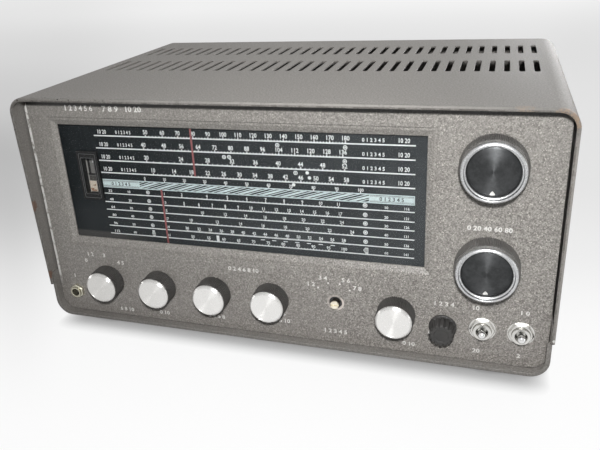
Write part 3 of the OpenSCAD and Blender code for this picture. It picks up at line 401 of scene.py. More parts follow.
def meter_print():
    """Meter scale: a dark slot with pale edges and a white painted highlight at the top right, over a cream
    foot with brown spots.
    """
    f = Finish("meter_cream", rough=0.6)
    grain = f.cloud(900.0, 3.0, 0.6, 0.3, 0.7)
    z = f.past("Z", METER_Z + TRAY_Z)
    x = f.past("X", METER_X)

    def inside(value, low, high):
        rise = f.step(value, (low - 0.2) * MM, (low + 0.2) * MM)
        return both(f, rise, f.step(value, (high + 0.2) * MM, (high - 0.2) * MM))

    f.colour = f.blend(grain, (0.055, 0.052, 0.048), (0.105, 0.100, 0.092))
    f.lay(both(f, inside(z, -2.6, 12.6), inside(x, -6.6, 3.2)), (0.20, 0.195, 0.185))
    f.lay(inside(x, -7.2, -6.2), (0.36, 0.35, 0.33))
    f.lay(both(f, inside(z, -1.1, 11.4), inside(x, -5.8, -3.8)), (0.004, 0.004, 0.004))
    # painted highlight: a white patch at the top right of the face
    f.lay(both(f, inside(z, 8.2, 12.6), inside(x, -1.5, 0.5)), (0.88, 0.89, 0.88))
    cream = f.blend(grain, (0.66, 0.58, 0.47), (0.82, 0.75, 0.64))
    f.lay(both(f, inside(z, -15.6, -6.8), inside(x, -6.9, 4.6)), cream)
    spots = both(f, inside(z, -15.4, -13.0), f.cloud(600.0, 3.0, 0.6, 0.44, 0.54))
    spots = f.calc("MAXIMUM", spots, both(f, inside(z, -10.8, -9.6), f.cloud(800.0, 2.0, 0.5, 0.56, 0.62)))
    f.lay(both(f, spots, inside(x, -6.6, 4.2)), (0.30, 0.12, 0.045))
    f.put("Base Color", f.colour)
    return f.material


def tube_glass():
    """Valve: smoky glass over a grey anode, with the silver getter at the top."""
    f = Finish("tube_glass", rough=0.08)
    z = f.past("Z", 54.0 + TRAY_Z)
    getter = f.step(f.calc("ADD", z, both(f, f.noise(160.0, 3.0), 6 * MM)), 38 * MM, 42 * MM)
    mesh_lines = f.step(f.calc("SINE", both(f, f.axis("Z"), 5200.0)), -0.4, 0.4)
    anode = f.blend(both(f, mesh_lines, 0.4), (0.06, 0.06, 0.062), (0.13, 0.13, 0.135))
    f.put("Base Color", f.blend(getter, anode, (0.55, 0.56, 0.57)))
    f.put("Metallic", both(f, getter, 0.9))
    f.put("Roughness", f.step(f.noise(90.0, 3.0), 0.3, 0.8, 0.05, 0.14))
    return f.material


def woven(name, colour):
    f = Finish(name, rough=0.85)
    twist = f.calc("SINE", both(f, f.calc("ADD", f.axis("X"), f.axis("Z")), 9000.0))
    f.put("Base Color", f.blend(f.step(twist, -0.7, 0.7), scaled(colour, 0.6), colour))
    f.put("Normal", f.bump(twist, 0.4, 0.0001))
    return f.material


def switch_body():
    """Phenolic switch body whose threaded bush, in front of the chassis, is nickel plated."""
    f = Finish("phenolic_switch", rough=0.4)
    front = f.along("Y", (PANEL_Y + 4.0) * MM, (PANEL_Y + 3.4) * MM)
    cloud = f.cloud(220.0, 3.0, 0.5, 0.3, 0.7)
    brown = f.blend(cloud, (0.16, 0.085, 0.045), (0.24, 0.14, 0.075))
    plated = f.blend(cloud, (0.55, 0.54, 0.51), (0.70, 0.69, 0.66))
    f.put("Base Color", f.blend(front, brown, plated))
    f.put("Metallic", front)
    f.put("Roughness", f.step(front, 0.0, 1.0, 0.5, 0.25))
    f.put("Normal", f.soft_edges(0.0002))
    return f.material


def bare_end():
    """Control shaft without its knob: a pale worn front end; behind it the shaft is dark with painted shade
    from the panel's hole.
    """
    f = Finish("bare_shaft_end", rough=0.45, metal=1.0)
    front = f.along("Y", (PANEL_Y - 2.3) * MM, (PANEL_Y - 3.2) * MM)
    cloud = f.cloud(500.0, 3.0, 0.5, 0.3, 0.7)
    # painted shade: the shaft behind its front end is dark, as in the shadow of the hole
    painted_shade = f.blend(cloud, (0.035, 0.030, 0.026), (0.075, 0.066, 0.056))
    worn = f.blend(cloud, (0.80, 0.74, 0.60), (0.93, 0.88, 0.74))
    f.put("Base Color", f.blend(front, painted_shade, worn))
    f.put("Roughness", f.step(front, 0.0, 1.0, 0.6, 0.4))
    f.put("Normal", f.soft_edges(0.0004))
    return f.material


def glazed(name, colour, rough):
    """Glazed ceramic or waxed board: an even body with faint clouding."""
    f = Finish(name, colour=colour, rough=rough)
    cloud = f.cloud(120.0, 4.0, 0.6, 0.35, 0.75)
    f.put("Base Color", f.blend(both(f, cloud, 0.5), colour, scaled(colour, 0.7)))
    f.put("Roughness", f.step(f.noise(300.0), 0.3, 0.7, rough - 0.08, rough + 0.1))
    f.put("Normal", f.soft_edges(0.0003))
    return f.material


def satin(name, colour, rough):
    """Plated metal with a fine grain and small dark pits."""
    f = Finish(name, colour=colour, rough=rough, metal=1.0)
    pits = f.cloud(1300.0, 3.0, 0.65, 0.40, 0.56)
    slow = f.cloud(120.0, 3.0, 0.6, 0.3, 0.7)
    pits = f.calc("MAXIMUM", pits, both(f, slow, 0.6))
    f.put("Base Color", f.blend(pits, scaled(colour, 0.62), colour))
    f.put("Roughness", f.step(pits, 0.0, 1.0, rough + 0.15, rough))
    f.put("Normal", f.bump(f.noise(900.0, 2.0, 0.6), 0.25, 0.00012, f.soft_edges(0.0003)))
    return f.material


def spun():
    """Spun aluminium knob cap: fine turned rings round the cap's own axis."""
    f = Finish("cap_aluminium", metal=1.0, Anisotropic=0.8, Anisotropic_Rotation=0.25)
    f.put("Tangent", f.node("Tangent", direction_type="RADIAL", axis="Y").outputs[0])
    local = f.node("TexCoord").outputs["Generated"]
    apart = f.node("SeparateXYZ", {0: local})
    dx = f.calc("SUBTRACT", apart.outputs["X"], 0.5)
    dz = f.calc("SUBTRACT", apart.outputs["Z"], 0.5)
    wave = f.calc("ADD", both(f, reach_of(f, dx, dz), 420.0), both(f, f.noise(200.0), 3.0))
    rings = f.calc("SINE", wave)
    turned = f.blend(f.step(rings, -1.0, 1.0), (0.78, 0.77, 0.75), (0.90, 0.89, 0.87))
    # painted shade: the caps further left are darker, where less light falls
    darkening = f.along("X", -0.02, -0.15, 0.0, 0.62)
    f.put("Base Color", f.blend(darkening, turned, (0.52, 0.51, 0.49)))
    f.put("Roughness", f.step(f.noise(700.0, 3.0), 0.3, 0.7, 0.26, 0.38))
    f.put("Normal", f.bump(rings, 0.15, 0.00004))
    return f.material


def turned_black():
    """Black disc of a tuning knob, turned so finely that it throws a fan of light."""
    f = Finish("turned_black", metal=1.0, Anisotropic=0.7, Anisotropic_Rotation=0.25)
    f.put("Tangent", f.node("Tangent", direction_type="RADIAL", axis="Y").outputs[0])
    cloud = f.cloud(260.0, 3.0, 0.6, 0.3, 0.7)
    f.put("Base Color", f.blend(cloud, (0.052, 0.054, 0.055), (0.074, 0.076, 0.078)))
    f.put("Roughness", f.step(f.noise(900.0, 3.0), 0.3, 0.7, 0.42, 0.52))
    return f.material


FINISHES = {
    "cabinet_paint": cabinet_paint(),
    "panel_paint": panel_paint(),
    "dial_print": dial_paint(),
    "meter_cream": meter_print(),
    "cap_aluminium": spun(),
    "tube_glass": tube_glass(),
}
for name, kind, *looks in (
        ("rear_paint", plain_paint, (0.24, 0.225, 0.21)),
        ("screw_steel", metal, (0.62, 0.61, 0.58), 0.32),
        ("foot_rubber", moulded, (0.018, 0.018, 0.018), 0.75),
        ("chassis_steel", metal, (0.56, 0.56, 0.54), 0.42, (60.0, 60.0, 60.0), 0.4),
        ("window_glass", clear, (0.45, 0.48, 0.50), 0.028, 0.06),
        ("lamp_glass", glazed, (0.82, 0.78, 0.66), 0.15),
        ("pointer_red", plain_paint, (0.31, 0.090, 0.088), 900.0, 0.4, 0.15),
        ("cord_fabric", woven, (0.62, 0.56, 0.40)),
        ("meter_black", moulded, (0.014, 0.014, 0.014), 0.5, (0.05, 0.05, 0.05), 0.2, 0.15),
        ("needle_metal", metal, (0.05, 0.05, 0.05), 0.4),
        ("knob_black", moulded, (0.020, 0.020, 0.021), 0.36),
        ("ring_chrome", satin, (0.64, 0.645, 0.65), 0.28),
        ("shaft_brass", metal, (0.80, 0.76, 0.64), 0.38),
        ("capacitor_metal", metal, (0.66, 0.66, 0.64), 0.38),
        ("can_steel", metal, (0.48, 0.49, 0.50), 0.4),
        ("phenolic", moulded, (0.20, 0.115, 0.06), 0.5),
        ("steatite", glazed, (0.78, 0.75, 0.66), 0.35),
        ("toggle_chrome", metal, (0.80, 0.80, 0.79), 0.12),
        ("nut_nickel", metal, (0.70, 0.69, 0.66), 0.22),
        ("transformer_black", moulded, (0.025, 0.025, 0.028), 0.3),
        ("can_aluminium", metal, (0.74, 0.74, 0.73), 0.35, (900.0, 900.0, 40.0)),
):
    FINISHES[name] = kind(name, *looks)
slot_of = {row["node"]: row["material_slot"] for row in frame["record"]["subparts"]}
OWN_FINISH = {"toggle_switches": switch_body(), "band_selector_shaft": bare_end(),
              "phone_jack": metal("jack_bush", (0.44, 0.42, 0.34), 0.45)}
for node, cad in NODES.items():
    cad.data.materials.clear()
    cad.data.materials.append(OWN_FINISH.get(node, FINISHES[slot_of[node]]))


SHARP = 32.0


def smooth(mesh, sharp):
    mesh.shade_smooth()
    mesh.set_sharp_from_angle(angle=math.radians(sharp))


def piece(name, bm, finish, body, replaces=(), sharp=SHARP):
    """Makes a piece from a bmesh in millimetres, in place, riding on a body."""
    bmesh.ops.recalc_face_normals(bm, faces=bm.faces)
    bmesh.ops.transform(bm, matrix=TO_ROW, verts=bm.verts)
    mesh = bpy.data.meshes.new(name)
    bm.to_mesh(mesh)
    bm.free()
    smooth(mesh, sharp)
    made = bpy.data.objects.new(name, mesh)
    scene.collection.objects.link(made)
    mesh.materials.append(FINISHES[finish] if isinstance(finish, str) else finish)
    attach(made, body)
    if replaces:
        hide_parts(*replaces)
    return made


def turn(bm, matrix, profile, steps, ring=False):
    """Turns a profile of (radius, height) pairs round Z; profile may be a function of the angle.
    A ring's last pair joins its first."""
    rows = []
    for i in range(steps):
        angle = 2 * math.pi * i / steps
        pairs = profile(angle) if callable(profile) else profile
        rows.append([(r * math.cos(angle), r * math.sin(angle), h) for r, h in pairs])
    count = len(rows[0])
    columns = []
    for k in range(count):
        if rows[0][k][0] == 0 and rows[0][k][1] == 0:
            columns.append([bm.verts.new(matrix @ Vector(rows[0][k]))] * steps)
        else:
            columns.append([bm.verts.new(matrix @ Vector(row[k])) for row in rows])
    pairs = [(k, k + 1) for k in range(count - 1)]
    if ring:
        pairs.append((count - 1, 0))
    for a, b in pairs:
        for i in range(steps):
            j = (i + 1) % steps
            corners = []
            for v in (columns[a][i], columns[a][j], columns[b][j], columns[b][i]):
                if v not in corners:
                    corners.append(v)
            if len(corners) > 2:
                bm.faces.new(corners)


def closed(bm, front, back):
    """Faces over two equal outlines and between them."""
    front = [bm.verts.new(place) for place in front]
    back = [bm.verts.new(place) for place in back]
    bm.faces.new(front)
    bm.faces.new(back[::-1])
    for i in range(len(front)):
        j = (i + 1) % len(front)
        bm.faces.new((front[j], front[i], back[i], back[j]))


def slab(bm, corners, y0, y1):
    """A flat plate with the given outline in x and z, from y0 to y1."""
    closed(bm, [(x, y0, z) for x, z in corners], [(x, y1, z) for x, z in corners])


def bar(bm, x0, x1, z0, z1, y0, y1):
    slab(bm, [(x0, z0), (x1, z0), (x1, z1), (x0, z1)], y0, y1)


def stroke(bm, a, b, width, y0, y1):
    """A straight printed line from a to b."""
    dx, dz = b[0] - a[0], b[1] - a[1]
    length = math.hypot(dx, dz)
    nx, nz = -dz / length * width / 2, dx / length * width / 2
    start = [(a[0] + nx, a[1] + nz), (a[0] - nx, a[1] - nz)]
    end = [(b[0] - nx, b[1] - nz), (b[0] + nx, b[1] + nz)]
    slab(bm, start + end, y0, y1)


def arc(x, z, radius, start, end, steps):
    """Points on a circle's arc from start to end, in radians."""
    angles = [start + (end - start) * i / steps for i in range(steps + 1)]
    return [(x + radius * math.cos(a), z + radius * math.sin(a)) for a in angles]


def dot(bm, x, z, radius, y0, y1):
    slab(bm, arc(x, z, radius, 0.0, 2 * math.pi, 16)[:-1], y0, y1)


def ringed_dot(bm, x, z, radius, width, middle, y0, y1):
    """A printed circle with a dot in it."""
    section = [(radius - width, -y0), (radius, -y0), (radius, -y1), (radius - width, -y1)]
    turn(bm, facing_front(x, z), section, 20, ring=True)
    dot(bm, x, z, middle, y0, y1)


# Height of the font's digits at size 1
DIGIT_H = 0.7
text_meshes = {}


def digits(bm, text, x, z, height, y0, thick, wide, bold=0.02):
    """Plain printed numbers, centred on x, standing on z."""
    key = (text, bold)
    if key not in text_meshes:
        curve = bpy.data.curves.new("numbers", "FONT")
        curve.body = text
        curve.align_x = "CENTER"
        curve.resolution_u = 2
        curve.extrude = 0.5
        curve.offset = bold
        holder = bpy.data.objects.new("numbers", curve)
        scene.collection.objects.link(holder)
        made = holder.evaluated_get(bpy.context.evaluated_depsgraph_get()).to_mesh()
        copy = bmesh.new()
        copy.from_mesh(made)
        points = [v.co.copy() for v in copy.verts]
        faces = [[v.index for v in f.verts] for f in copy.faces]
        copy.free()
        text_meshes[key] = (points, faces)
        bpy.data.objects.remove(holder)
        bpy.data.curves.remove(curve)
    points, faces = text_meshes[key]
    size = height / DIGIT_H
    made = []
    for p in points:
        px, pz = p.x * size * wide, p.y * size
        made.append(bm.verts.new((x + px, y0 + thick / 2 - p.z * thick, z + pz)))
    for f in faces:
        bm.faces.new([made[i] for i in f])


def arch_path(half_w, z0, z1, r, steps=10):
    """Points and outward directions up the left side, over the top and down the right side."""
    path = [(-half_w, z0, -1.0, 0.0), (-half_w, z1 - r, -1.0, 0.0)]
    for i in range(1, steps):
        a = math.pi - math.pi / 2 * i / steps
        path.append((-half_w + r + r * math.cos(a), z1 - r + r * math.sin(a), math.cos(a), math.sin(a)))
    path.append((-half_w + r, z1, 0.0, 1.0))
    return path + [(-x, z, -nx, nz) for x, z, nx, nz in path[::-1]]


def sheet_edge(wall, rim, bend):
    """Outline of a folded sheet as (inward, behind the front): outer skin, bend, rim, inner skin."""
    points = [(0.0, bend)]
    for i in range(1, 6):
        a = math.pi / 2 * i / 6
        points.append((bend * (1 - math.cos(a)), bend * (1 - math.sin(a))))
    points += [(bend, 0.0), (rim - 0.25, 0.0), (rim, 0.25), (rim, wall - 0.25), (rim - 0.25, wall),
               (wall + 0.4, wall), (wall, wall + 0.4)]
    return points


def folded(bm, path, wall, rim, bend, front, rear):
    """Sweeps a folded front edge along a path; front(z) is where it stands, rear where it ends."""
    section = sheet_edge(wall, rim, bend)
    tail = [(wall, -0.3), (wall - 0.3, 0.0), (0.3, 0.0), (0.0, -0.3)]
    rows = []
    for x, z, nx, nz in path:
        row = []
        for inward, behind in section:
            px, pz = x - nx * inward, z - nz * inward
            row.append(bm.verts.new((px, front(pz) + behind, pz)))
        for inward, behind in tail:
            row.append(bm.verts.new((x - nx * inward, rear + behind, z - nz * inward)))
        rows.append(row)
    count = len(rows[0])
    for a, b in zip(rows, rows[1:]):
        for k in range(count):
            j = (k + 1) % count
            bm.faces.new((a[k], a[j], b[j], b[k]))
    bm.faces.new(rows[0])
    bm.faces.new(rows[-1][::-1])


SHEET = 1.2
COVER_RIM = 2.5
COVER_BEND = 1.2
TRAY_RIM = 3.2
TRAY_BEND = 1.4
SIDE_Z = 28.0
REAR_Y = 231.5
SLOTS = 35
SLOT_PITCH = 10.0
SLOT_W = 4.0
SLOT_ROWS = ((87.0, 128.5), (158.5, 195.0))

bm = bmesh.new()
folded(bm, arch_path(CABINET_W / 2, SIDE_Z, CABINET_H, COVER_R), SHEET, COVER_RIM, COVER_BEND,
       lambda z: -FRONT_LOW - z * RAKE, REAR_Y)
cover = piece("cover_shell", bm, "cabinet_paint", "receiver", ["case_cover"])

bm = bmesh.new()
for y0, y1 in SLOT_ROWS:
    for i in range(SLOTS):
        x = (i - (SLOTS - 1) / 2) * SLOT_PITCH
        r = SLOT_W / 2
        rim = arc(x, y1 - r, r, 0.0, math.pi, 8) + arc(x, y0 + r, r, math.pi, 2 * math.pi, 8)
        closed(bm, [(px, py, CABINET_H + 2) for px, py in rim], [(px, py, CABINET_H - 4) for px, py in rim])
bmesh.ops.transform(bm, matrix=TO_ROW, verts=bm.verts)
bmesh.ops.recalc_face_normals(bm, faces=bm.faces)
cutter_mesh = bpy.data.meshes.new("slots")
bm.to_mesh(cutter_mesh)
bm.free()
cutter = bpy.data.objects.new("slots", cutter_mesh)
scene.collection.objects.link(cutter)
cut = cover.modifiers.new("slots", "BOOLEAN")
cut.object = cutter
cut.solver = "EXACT"
bpy.context.view_layer.update()
cut_mesh = bpy.data.meshes.new_from_object(cover.evaluated_get(bpy.context.evaluated_depsgraph_get()))
cover.modifiers.clear()
cover.data = cut_mesh
smooth(cut_mesh, SHARP)
bpy.data.objects.remove(cutter)

bm = bmesh.new()
TRAY_HALF = CABINET_W / 2 - 1.3
TRAY_R = 13.0
TRAY_FRONT = -8.5
LAP_TOP = 37.0
tray_path = [(x, SIDE_Z - (z - SIDE_Z), nx, -nz)
             for x, z, nx, nz in arch_path(TRAY_HALF, SIDE_Z, 2 * SIDE_Z, TRAY_R)]
folded(bm, tray_path, SHEET, TRAY_RIM, TRAY_BEND, lambda z: TRAY_FRONT, REAR_Y)
for s in (-1, 1):
    xs = sorted((s * TRAY_HALF, s * (TRAY_HALF - SHEET)))
    bar(bm, xs[0], xs[1], SIDE_Z - 0.2, LAP_TOP, TRAY_FRONT + 2, REAR_Y - 2)
piece("tray_shell", bm, "cabinet_paint", "receiver", ["bottom_tray"])

# Knobs, from profiles of (radius, height out from the panel) pairs
KNOB_BACK = [(0.0, 3.6), (9.5, 3.6), (9.5, 1.0)]
TUNING_X = 145.8
TUNING = (("main_tuning", 75.8), ("band_spread", 143.3))
TUNING_RIBS = 96
TUNING_RIB_DEPTH = 0.75
DISC_R = 15.4
DISC_EDGE = 12.7
DISC_RISE = 1.5
RING = [(15.75, 12.0), (19.1, 12.0), (19.1, 14.9), (18.9, 15.5), (18.5, 15.95), (17.6, 16.45),
        (17.3, 16.5), (17.1, 16.4), (16.95, 16.0), (16.85, 15.0), (16.6, 14.7), (16.2, 14.6),
        (15.95, 14.45), (15.75, 14.1)]


def disc_height(r):
    """How far the domed disc of a tuning knob stands out at a radius."""
    return DISC_EDGE + DISC_RISE * (1 - (r / DISC_R) ** 2)


def rounded(corners, share, steps=5):
    """An outline whose corners are rounded over a share of each side."""
    outline = []
    for i, corner in enumerate(corners):
        here = Vector(corner)
        start = here.lerp(Vector(corners[i - 1]), share)
        end = here.lerp(Vector(corners[(i + 1) % len(corners)]), share)
        for k in range(steps + 1):
            t = k / steps
            outline.append(tuple(start.lerp(here, t).lerp(here.lerp(end, t), t)))
    return outline


def ribbed(pairs, count, depth):
    """A profile whose radius dips between fine ribs; each pair has a third number, its share of the dip."""
    def profile(angle):
        dip = depth * (0.5 - 0.5 * math.cos(angle * count)) ** 1.5
        return [(r - dip * share, h) for r, h, share in pairs]
    return profile


mark = printing("knob_mark", (0.80, 0.79, 0.76), (0.42, 0.41, 0.39), 0.6)
skirt_black = moulded("skirt_black", (0.125, 0.120, 0.114), 0.45, (0.24, 0.232, 0.222), 0.5)
disc_black = turned_black()
grip_black = moulded("grip_black", (0.060, 0.057, 0.054), 0.42, (0.13, 0.125, 0.12), 0.4)
trimmer_black = moulded("trimmer_black", (0.030, 0.029, 0.028), 0.5, (0.11, 0.105, 0.10), 0.35)

for name, z in TUNING:
    bm = bmesh.new()
    body = [(r, h, 0.0) for r, h in KNOB_BACK]
    body += [(19.7, 1.0, 0.3), (20.25, 1.3, 1.0), (20.4, 1.9, 1.0), (20.1, 11.0, 1.0), (19.8, 11.6, 1.0),
             (19.3, 12.0, 0.2), (0.0, 12.0, 0.0)]
    turn(bm, facing_front(TUNING_X, z), ribbed(body, TUNING_RIBS, TUNING_RIB_DEPTH), TUNING_RIBS * 6)
    piece(name + "_skirt", bm, skirt_black, name, [name + "_knob"])
    bm = bmesh.new()
    disc = [(0.0, 11.5), (15.7, 11.5), (15.7, 12.4)]
    disc += [(DISC_R * i / 10, disc_height(DISC_R * i / 10)) for i in range(10, -1, -1)]
    turn(bm, facing_front(TUNING_X, z), disc, 96)
    piece(name + "_disc", bm, disc_black, name, sharp=50)
    bm = bmesh.new()
    turn(bm, facing_front(TUNING_X, z), RING, 96, ring=True)
    piece(name + "_bezel", bm, "ring_chrome", name, [name + "_ring"], sharp=50)
    bm = bmesh.new()
    arrow = rounded([(-2.1, -14.7), (2.1, -14.7), (0.0, -11.4)], 0.35)
    skin = [(TUNING_X + ax, -disc_height(math.hypot(ax, az)), z + az) for ax, az in arrow]
    closed(bm, [(px, py - 0.1, pz) for px, py, pz in skin], [(px, py + 0.1, pz) for px, py, pz in skin])
    piece(name + "_arrow", bm, mark, name)

KNOB_Z = 33.0
KNOBS = (("function", -139.0), ("gain", -93.5), ("selectivity", -48.0), ("frequency", -2.5),
         ("volume", 88.3))
KNOB_RIBS = 60
KNOB_RIB_DEPTH = 0.6
for name, x in KNOBS:
    bm = bmesh.new()
    body = [(r, h, 0.0) for r, h in KNOB_BACK]
    body += [(12.7, 1.0, 0.3), (13.1, 1.25, 1.0), (13.2, 1.7, 1.0), (12.95, 12.8, 1.0), (12.7, 13.3, 1.0),
             (12.4, 13.5, 0.2), (0.0, 13.5, 0.0)]
    turn(bm, facing_front(x, KNOB_Z), ribbed(body, KNOB_RIBS, KNOB_RIB_DEPTH), KNOB_RIBS * 6)
    piece(name + "_grip", bm, grip_black, name + "_control", [name + "_knob"])
    bm = bmesh.new()
    cap = [(0.0, 13.2), (12.45, 13.2), (12.5, 13.5), (12.5, 13.95), (12.4, 14.15), (11.1, 15.35),
           (10.9, 15.48), (10.6, 15.5), (10.45, 15.38), (5.0, 15.34), (0.0, 15.3)]
    turn(bm, facing_front(x, KNOB_Z), cap, 96)
    piece(name + "_disc", bm, "cap_aluminium", name + "_control", [name + "_cap"], sharp=28)

TRIM_X = 119.8
TRIM_Z = 26.4
FLUTES = 14
bm = bmesh.new()


def fluted(angle):
    dip = max(0.0, math.cos(angle * FLUTES)) ** 1.5 * 1.15
    return [(0.0, 3.4), (5.6, 3.4), (5.6, 1.0), (8.9, 1.0), (9.2, 1.3), (9.2, 2.3), (8.9, 2.6),
            (8.5 - dip, 2.9), (8.1 - dip, 12.0), (7.7 - dip, 12.6), (7.0 - dip * 0.8, 13.0), (5.0, 12.9),
            (4.6, 12.4), (0.0, 12.4)]


turn(bm, facing_front(TRIM_X, TRIM_Z), fluted, FLUTES * 12)
piece("antenna_trim_grip", bm, trimmer_black, "antenna_trimmer", ["antenna_trim_knob"])
bm = bmesh.new()
DOT_ANGLE = math.radians(173)
DOT_OUT = 8.0
spot = (TRIM_X + DOT_OUT * math.cos(DOT_ANGLE), -11.3, TRIM_Z + DOT_OUT * math.sin(DOT_ANGLE))
spot = Matrix.Translation(spot)
spot = spot @ Matrix.Rotation(-DOT_ANGLE, 4, "Y") @ Matrix.Rotation(math.pi / 2, 4, "Y")
turn(bm, spot, [(0.0, -1.2), (1.1, -1.2), (1.1, 0.35), (0.8, 0.6), (0.0, 0.65)], 20)
piece("antenna_trim_dot", bm, mark, "antenna_trimmer")


# Nuts, washers and bushings
def hexagon(flats, bore, top, first=0.0):
    """Profile of a six-sided nut with a rounded lead."""
    def profile(angle):
        turned = (angle - first) % (math.pi / 3) - math.pi / 6
        corner = flats / 2 / math.cos(turned)
        drop = max(0.0, corner - flats / 2 + 0.35) * 0.62
        flat = flats / 2 - 0.35
        return [(bore, 0.0), (bore, top - 0.2), (bore + 0.2, top), (flat - 0.2, top),
                (flat + 0.15, top - 0.12), (corner - 0.12, top - drop), (corner, top - drop - 0.15),
                (corner, 0.0)]
    return profile


TOGGLE_Z = 27.5
TOGGLES = (("left_toggle", 145.4), ("right_toggle", 169.8))
JACK_X = -172.0
JACK_Z = 18.9
bm = bmesh.new()
for name, x in TOGGLES:
    washer = [(6.0, 0.0), (8.75, 0.0), (8.8, 0.3), (8.6, 0.5), (6.0, 0.5)]
    turn(bm, facing_front(x, TOGGLE_Z), washer, 64, ring=True)
    turn(bm, facing_front(x, TOGGLE_Z, -0.5), hexagon(14.3, 5.98, 2.3), 72, ring=True)
    bush = [(5.0, -1.5), (3.98, -1.5), (3.98, 3.9), (4.25, 4.6), (4.5, 4.64), (5.6, 4.64), (5.97, 4.25)]
    bush += [(5.97 - 0.16 * (k % 2), 4.1 - 0.3 * k) for k in range(9)]
    bush += [(5.97, 1.2), (5.97, -1.5)]
    turn(bm, facing_front(x, TOGGLE_Z), bush, 48, ring=True)
piece("fixing_nuts", bm, "nut_nickel", "receiver", ["panel_nuts"], sharp=28)
bm = bmesh.new()
turn(bm, facing_front(JACK_X, JACK_Z), hexagon(11.0, 4.52, 2.4, math.pi / 6), 72, ring=True)
jack_nickel = metal("jack_nickel", (0.56, 0.54, 0.45), 0.42)
piece("jack_nut", bm, jack_nickel, "receiver", sharp=28)
# a black ring behind the panel round the selector shaft: painted shade that darkens the hole
bm = bmesh.new()
washer = [(3.05, -1.9), (4.68, -1.9), (4.68, -1.2), (3.05, -1.2)]
turn(bm, facing_front(SELECTOR_X, SELECTOR_Z), washer, 48, ring=True)
piece("selector_shade_ring", bm, "knob_black", "receiver")

# Cabinet screws and feet
SCREW_Z = SIDE_Z + 4.5
bm = bmesh.new()
dome = [(0.0, 1.8), (0.9, 1.76), (1.7, 1.55), (2.4, 1.1), (2.85, 0.5), (3.0, 0.0), (1.5, 0.0), (1.5, -5.0),
        (0.0, -5.0)]


def slotted(matrix):
    """A round-headed screw with a slot across its head."""
    made = bmesh.new()
    turn(made, Matrix.Identity(4), dome, 32)
    for v in made.verts:
        if v.co.z > 0.95 and abs(v.co.y) < 0.45:
            v.co.z -= 0.75
    copies = [bm.verts.new(matrix @ v.co) for v in made.verts]
    made.verts.index_update()
    for f in made.faces:
        bm.faces.new([copies[v.index] for v in f.verts])
    made.free()


FOOT_X = 150.0
FOOT_YS = (22.0, 202.3)
MIDDLE_SCREW_Y = 123.15
REAR_SCREW_X = 172.0
REAR_SCREW_ZS = (16.0, 44.0)
REAR_SHEET_Y = 225.5
for y in (FOOT_YS[0], MIDDLE_SCREW_Y, FOOT_YS[1]):
    for s in (-1, 1):
        tilt = Matrix.Rotation(s * math.pi / 2, 4, "Y") @ Matrix.Rotation(y * 0.7, 4, "Z")
        slotted(Matrix.Translation((s * CABINET_W / 2, y, SCREW_Z)) @ tilt)
for x in (-REAR_SCREW_X, REAR_SCREW_X):
    for z in REAR_SCREW_ZS:
        slotted(Matrix.Translation((x, REAR_SHEET_Y, z)) @ Matrix.Rotation(-math.pi / 2, 4, "X")
                @ Matrix.Rotation(x + z, 4, "Z"))
piece("cabinet_screw_heads", bm, "screw_steel", "receiver", ["cabinet_screws"], sharp=40)

bm = bmesh.new()
foot = [(0.0, 3.0), (3.6, 3.0), (4.2, 5.2), (5.0, 7.7), (5.6, 8.0), (8.6, 8.0), (9.3, 7.6), (9.6, 7.0),
        (10.8, 0.8), (10.9, 0.3), (11.0, 0.0), (0.0, 0.0)]
for x in (-FOOT_X, FOOT_X):
    for y in FOOT_YS:
        turn(bm, Matrix.Translation((x, y, 0)) @ Matrix.Rotation(math.pi, 4, "X"), foot, 48)
piece("rubber_foot_pads", bm, "foot_rubber", "receiver", ["rubber_feet"], sharp=40)

# Meter bezel: a rounded frame with a raised inner lip round the window
def round_rect(half_w, half_h, r, steps=6):
    """Points round a rectangle with rounded corners, about the middle."""
    path = []
    for cx, cz, start in ((1, 1, 0), (-1, 1, 90), (-1, -1, 180), (1, -1, 270)):
        for i in range(steps + 1):
            a = math.radians(start + 90 * i / steps)
            path.append((cx * (half_w - r) + r * math.cos(a), cz * (half_h - r) + r * math.sin(a)))
    return path


def bezel(bm, x, z, stations):
    """A frame through closed outlines, each half width, half height, corner radius and y."""
    rows = []
    for half_w, half_h, r, y in stations:
        rows.append([bm.verts.new((x + px, y, z + pz)) for px, pz in round_rect(half_w, half_h, r)])
    count = len(rows[0])
    for k in range(len(rows)):
        a, b = rows[k], rows[(k + 1) % len(rows)]
        for i in range(count):
            j = (i + 1) % count
            bm.faces.new((a[i], a[j], b[j], b[i]))


bm = bmesh.new()
bezel(bm, METER_X, METER_Z, [
    (8.8, 19.3, 1.2, 9.0), (8.8, 19.3, 1.2, 6.9), (8.5, 19.0, 1.1, 6.55), (7.6, 18.1, 0.9, 6.5),
    (7.4, 17.9, 0.8, 7.1), (6.9, 17.4, 0.8, 7.1), (6.7, 17.2, 0.8, 6.35), (6.2, 16.2, 0.7, 6.3),
    (5.7, 14.5, 0.6, 6.45), (5.2, 14.0, 0.5, 7.0), (5.2, 14.0, 0.5, 9.0)])
piece("meter_bezel", bm, "meter_black", "receiver", sharp=25)
# grey rings on the bezel's edges and round the window: painted highlights where the edges catch the light
bm = bmesh.new()
for half_w, half_h, y in ((8.75, 19.3, 6.62), (7.1, 17.7, 6.45), (5.75, 14.6, 6.4)):
    bezel(bm, METER_X, METER_Z, [(half_w, half_h, 0.8, y + 0.3), (half_w, half_h, 0.8, y - 0.1),
                                 (half_w - 0.28, half_h - 0.28, 0.6, y - 0.1),
                                 (half_w - 0.28, half_h - 0.28, 0.6, y + 0.3)])
meter_highlight_grey = moulded("meter_highlight_grey", (0.12, 0.12, 0.122), 0.4, (0.22, 0.22, 0.22), 0.5)
piece("meter_edge_highlights", bm, meter_highlight_grey, "receiver", sharp=25)
bm = bmesh.new()
bar(bm, METER_X - 7.15, METER_X + 6.6, METER_Z - 17.4, METER_Z + 17.4, 14.3, 14.7)
piece("meter_scale", bm, "meter_cream", "receiver", ["meter_face"])

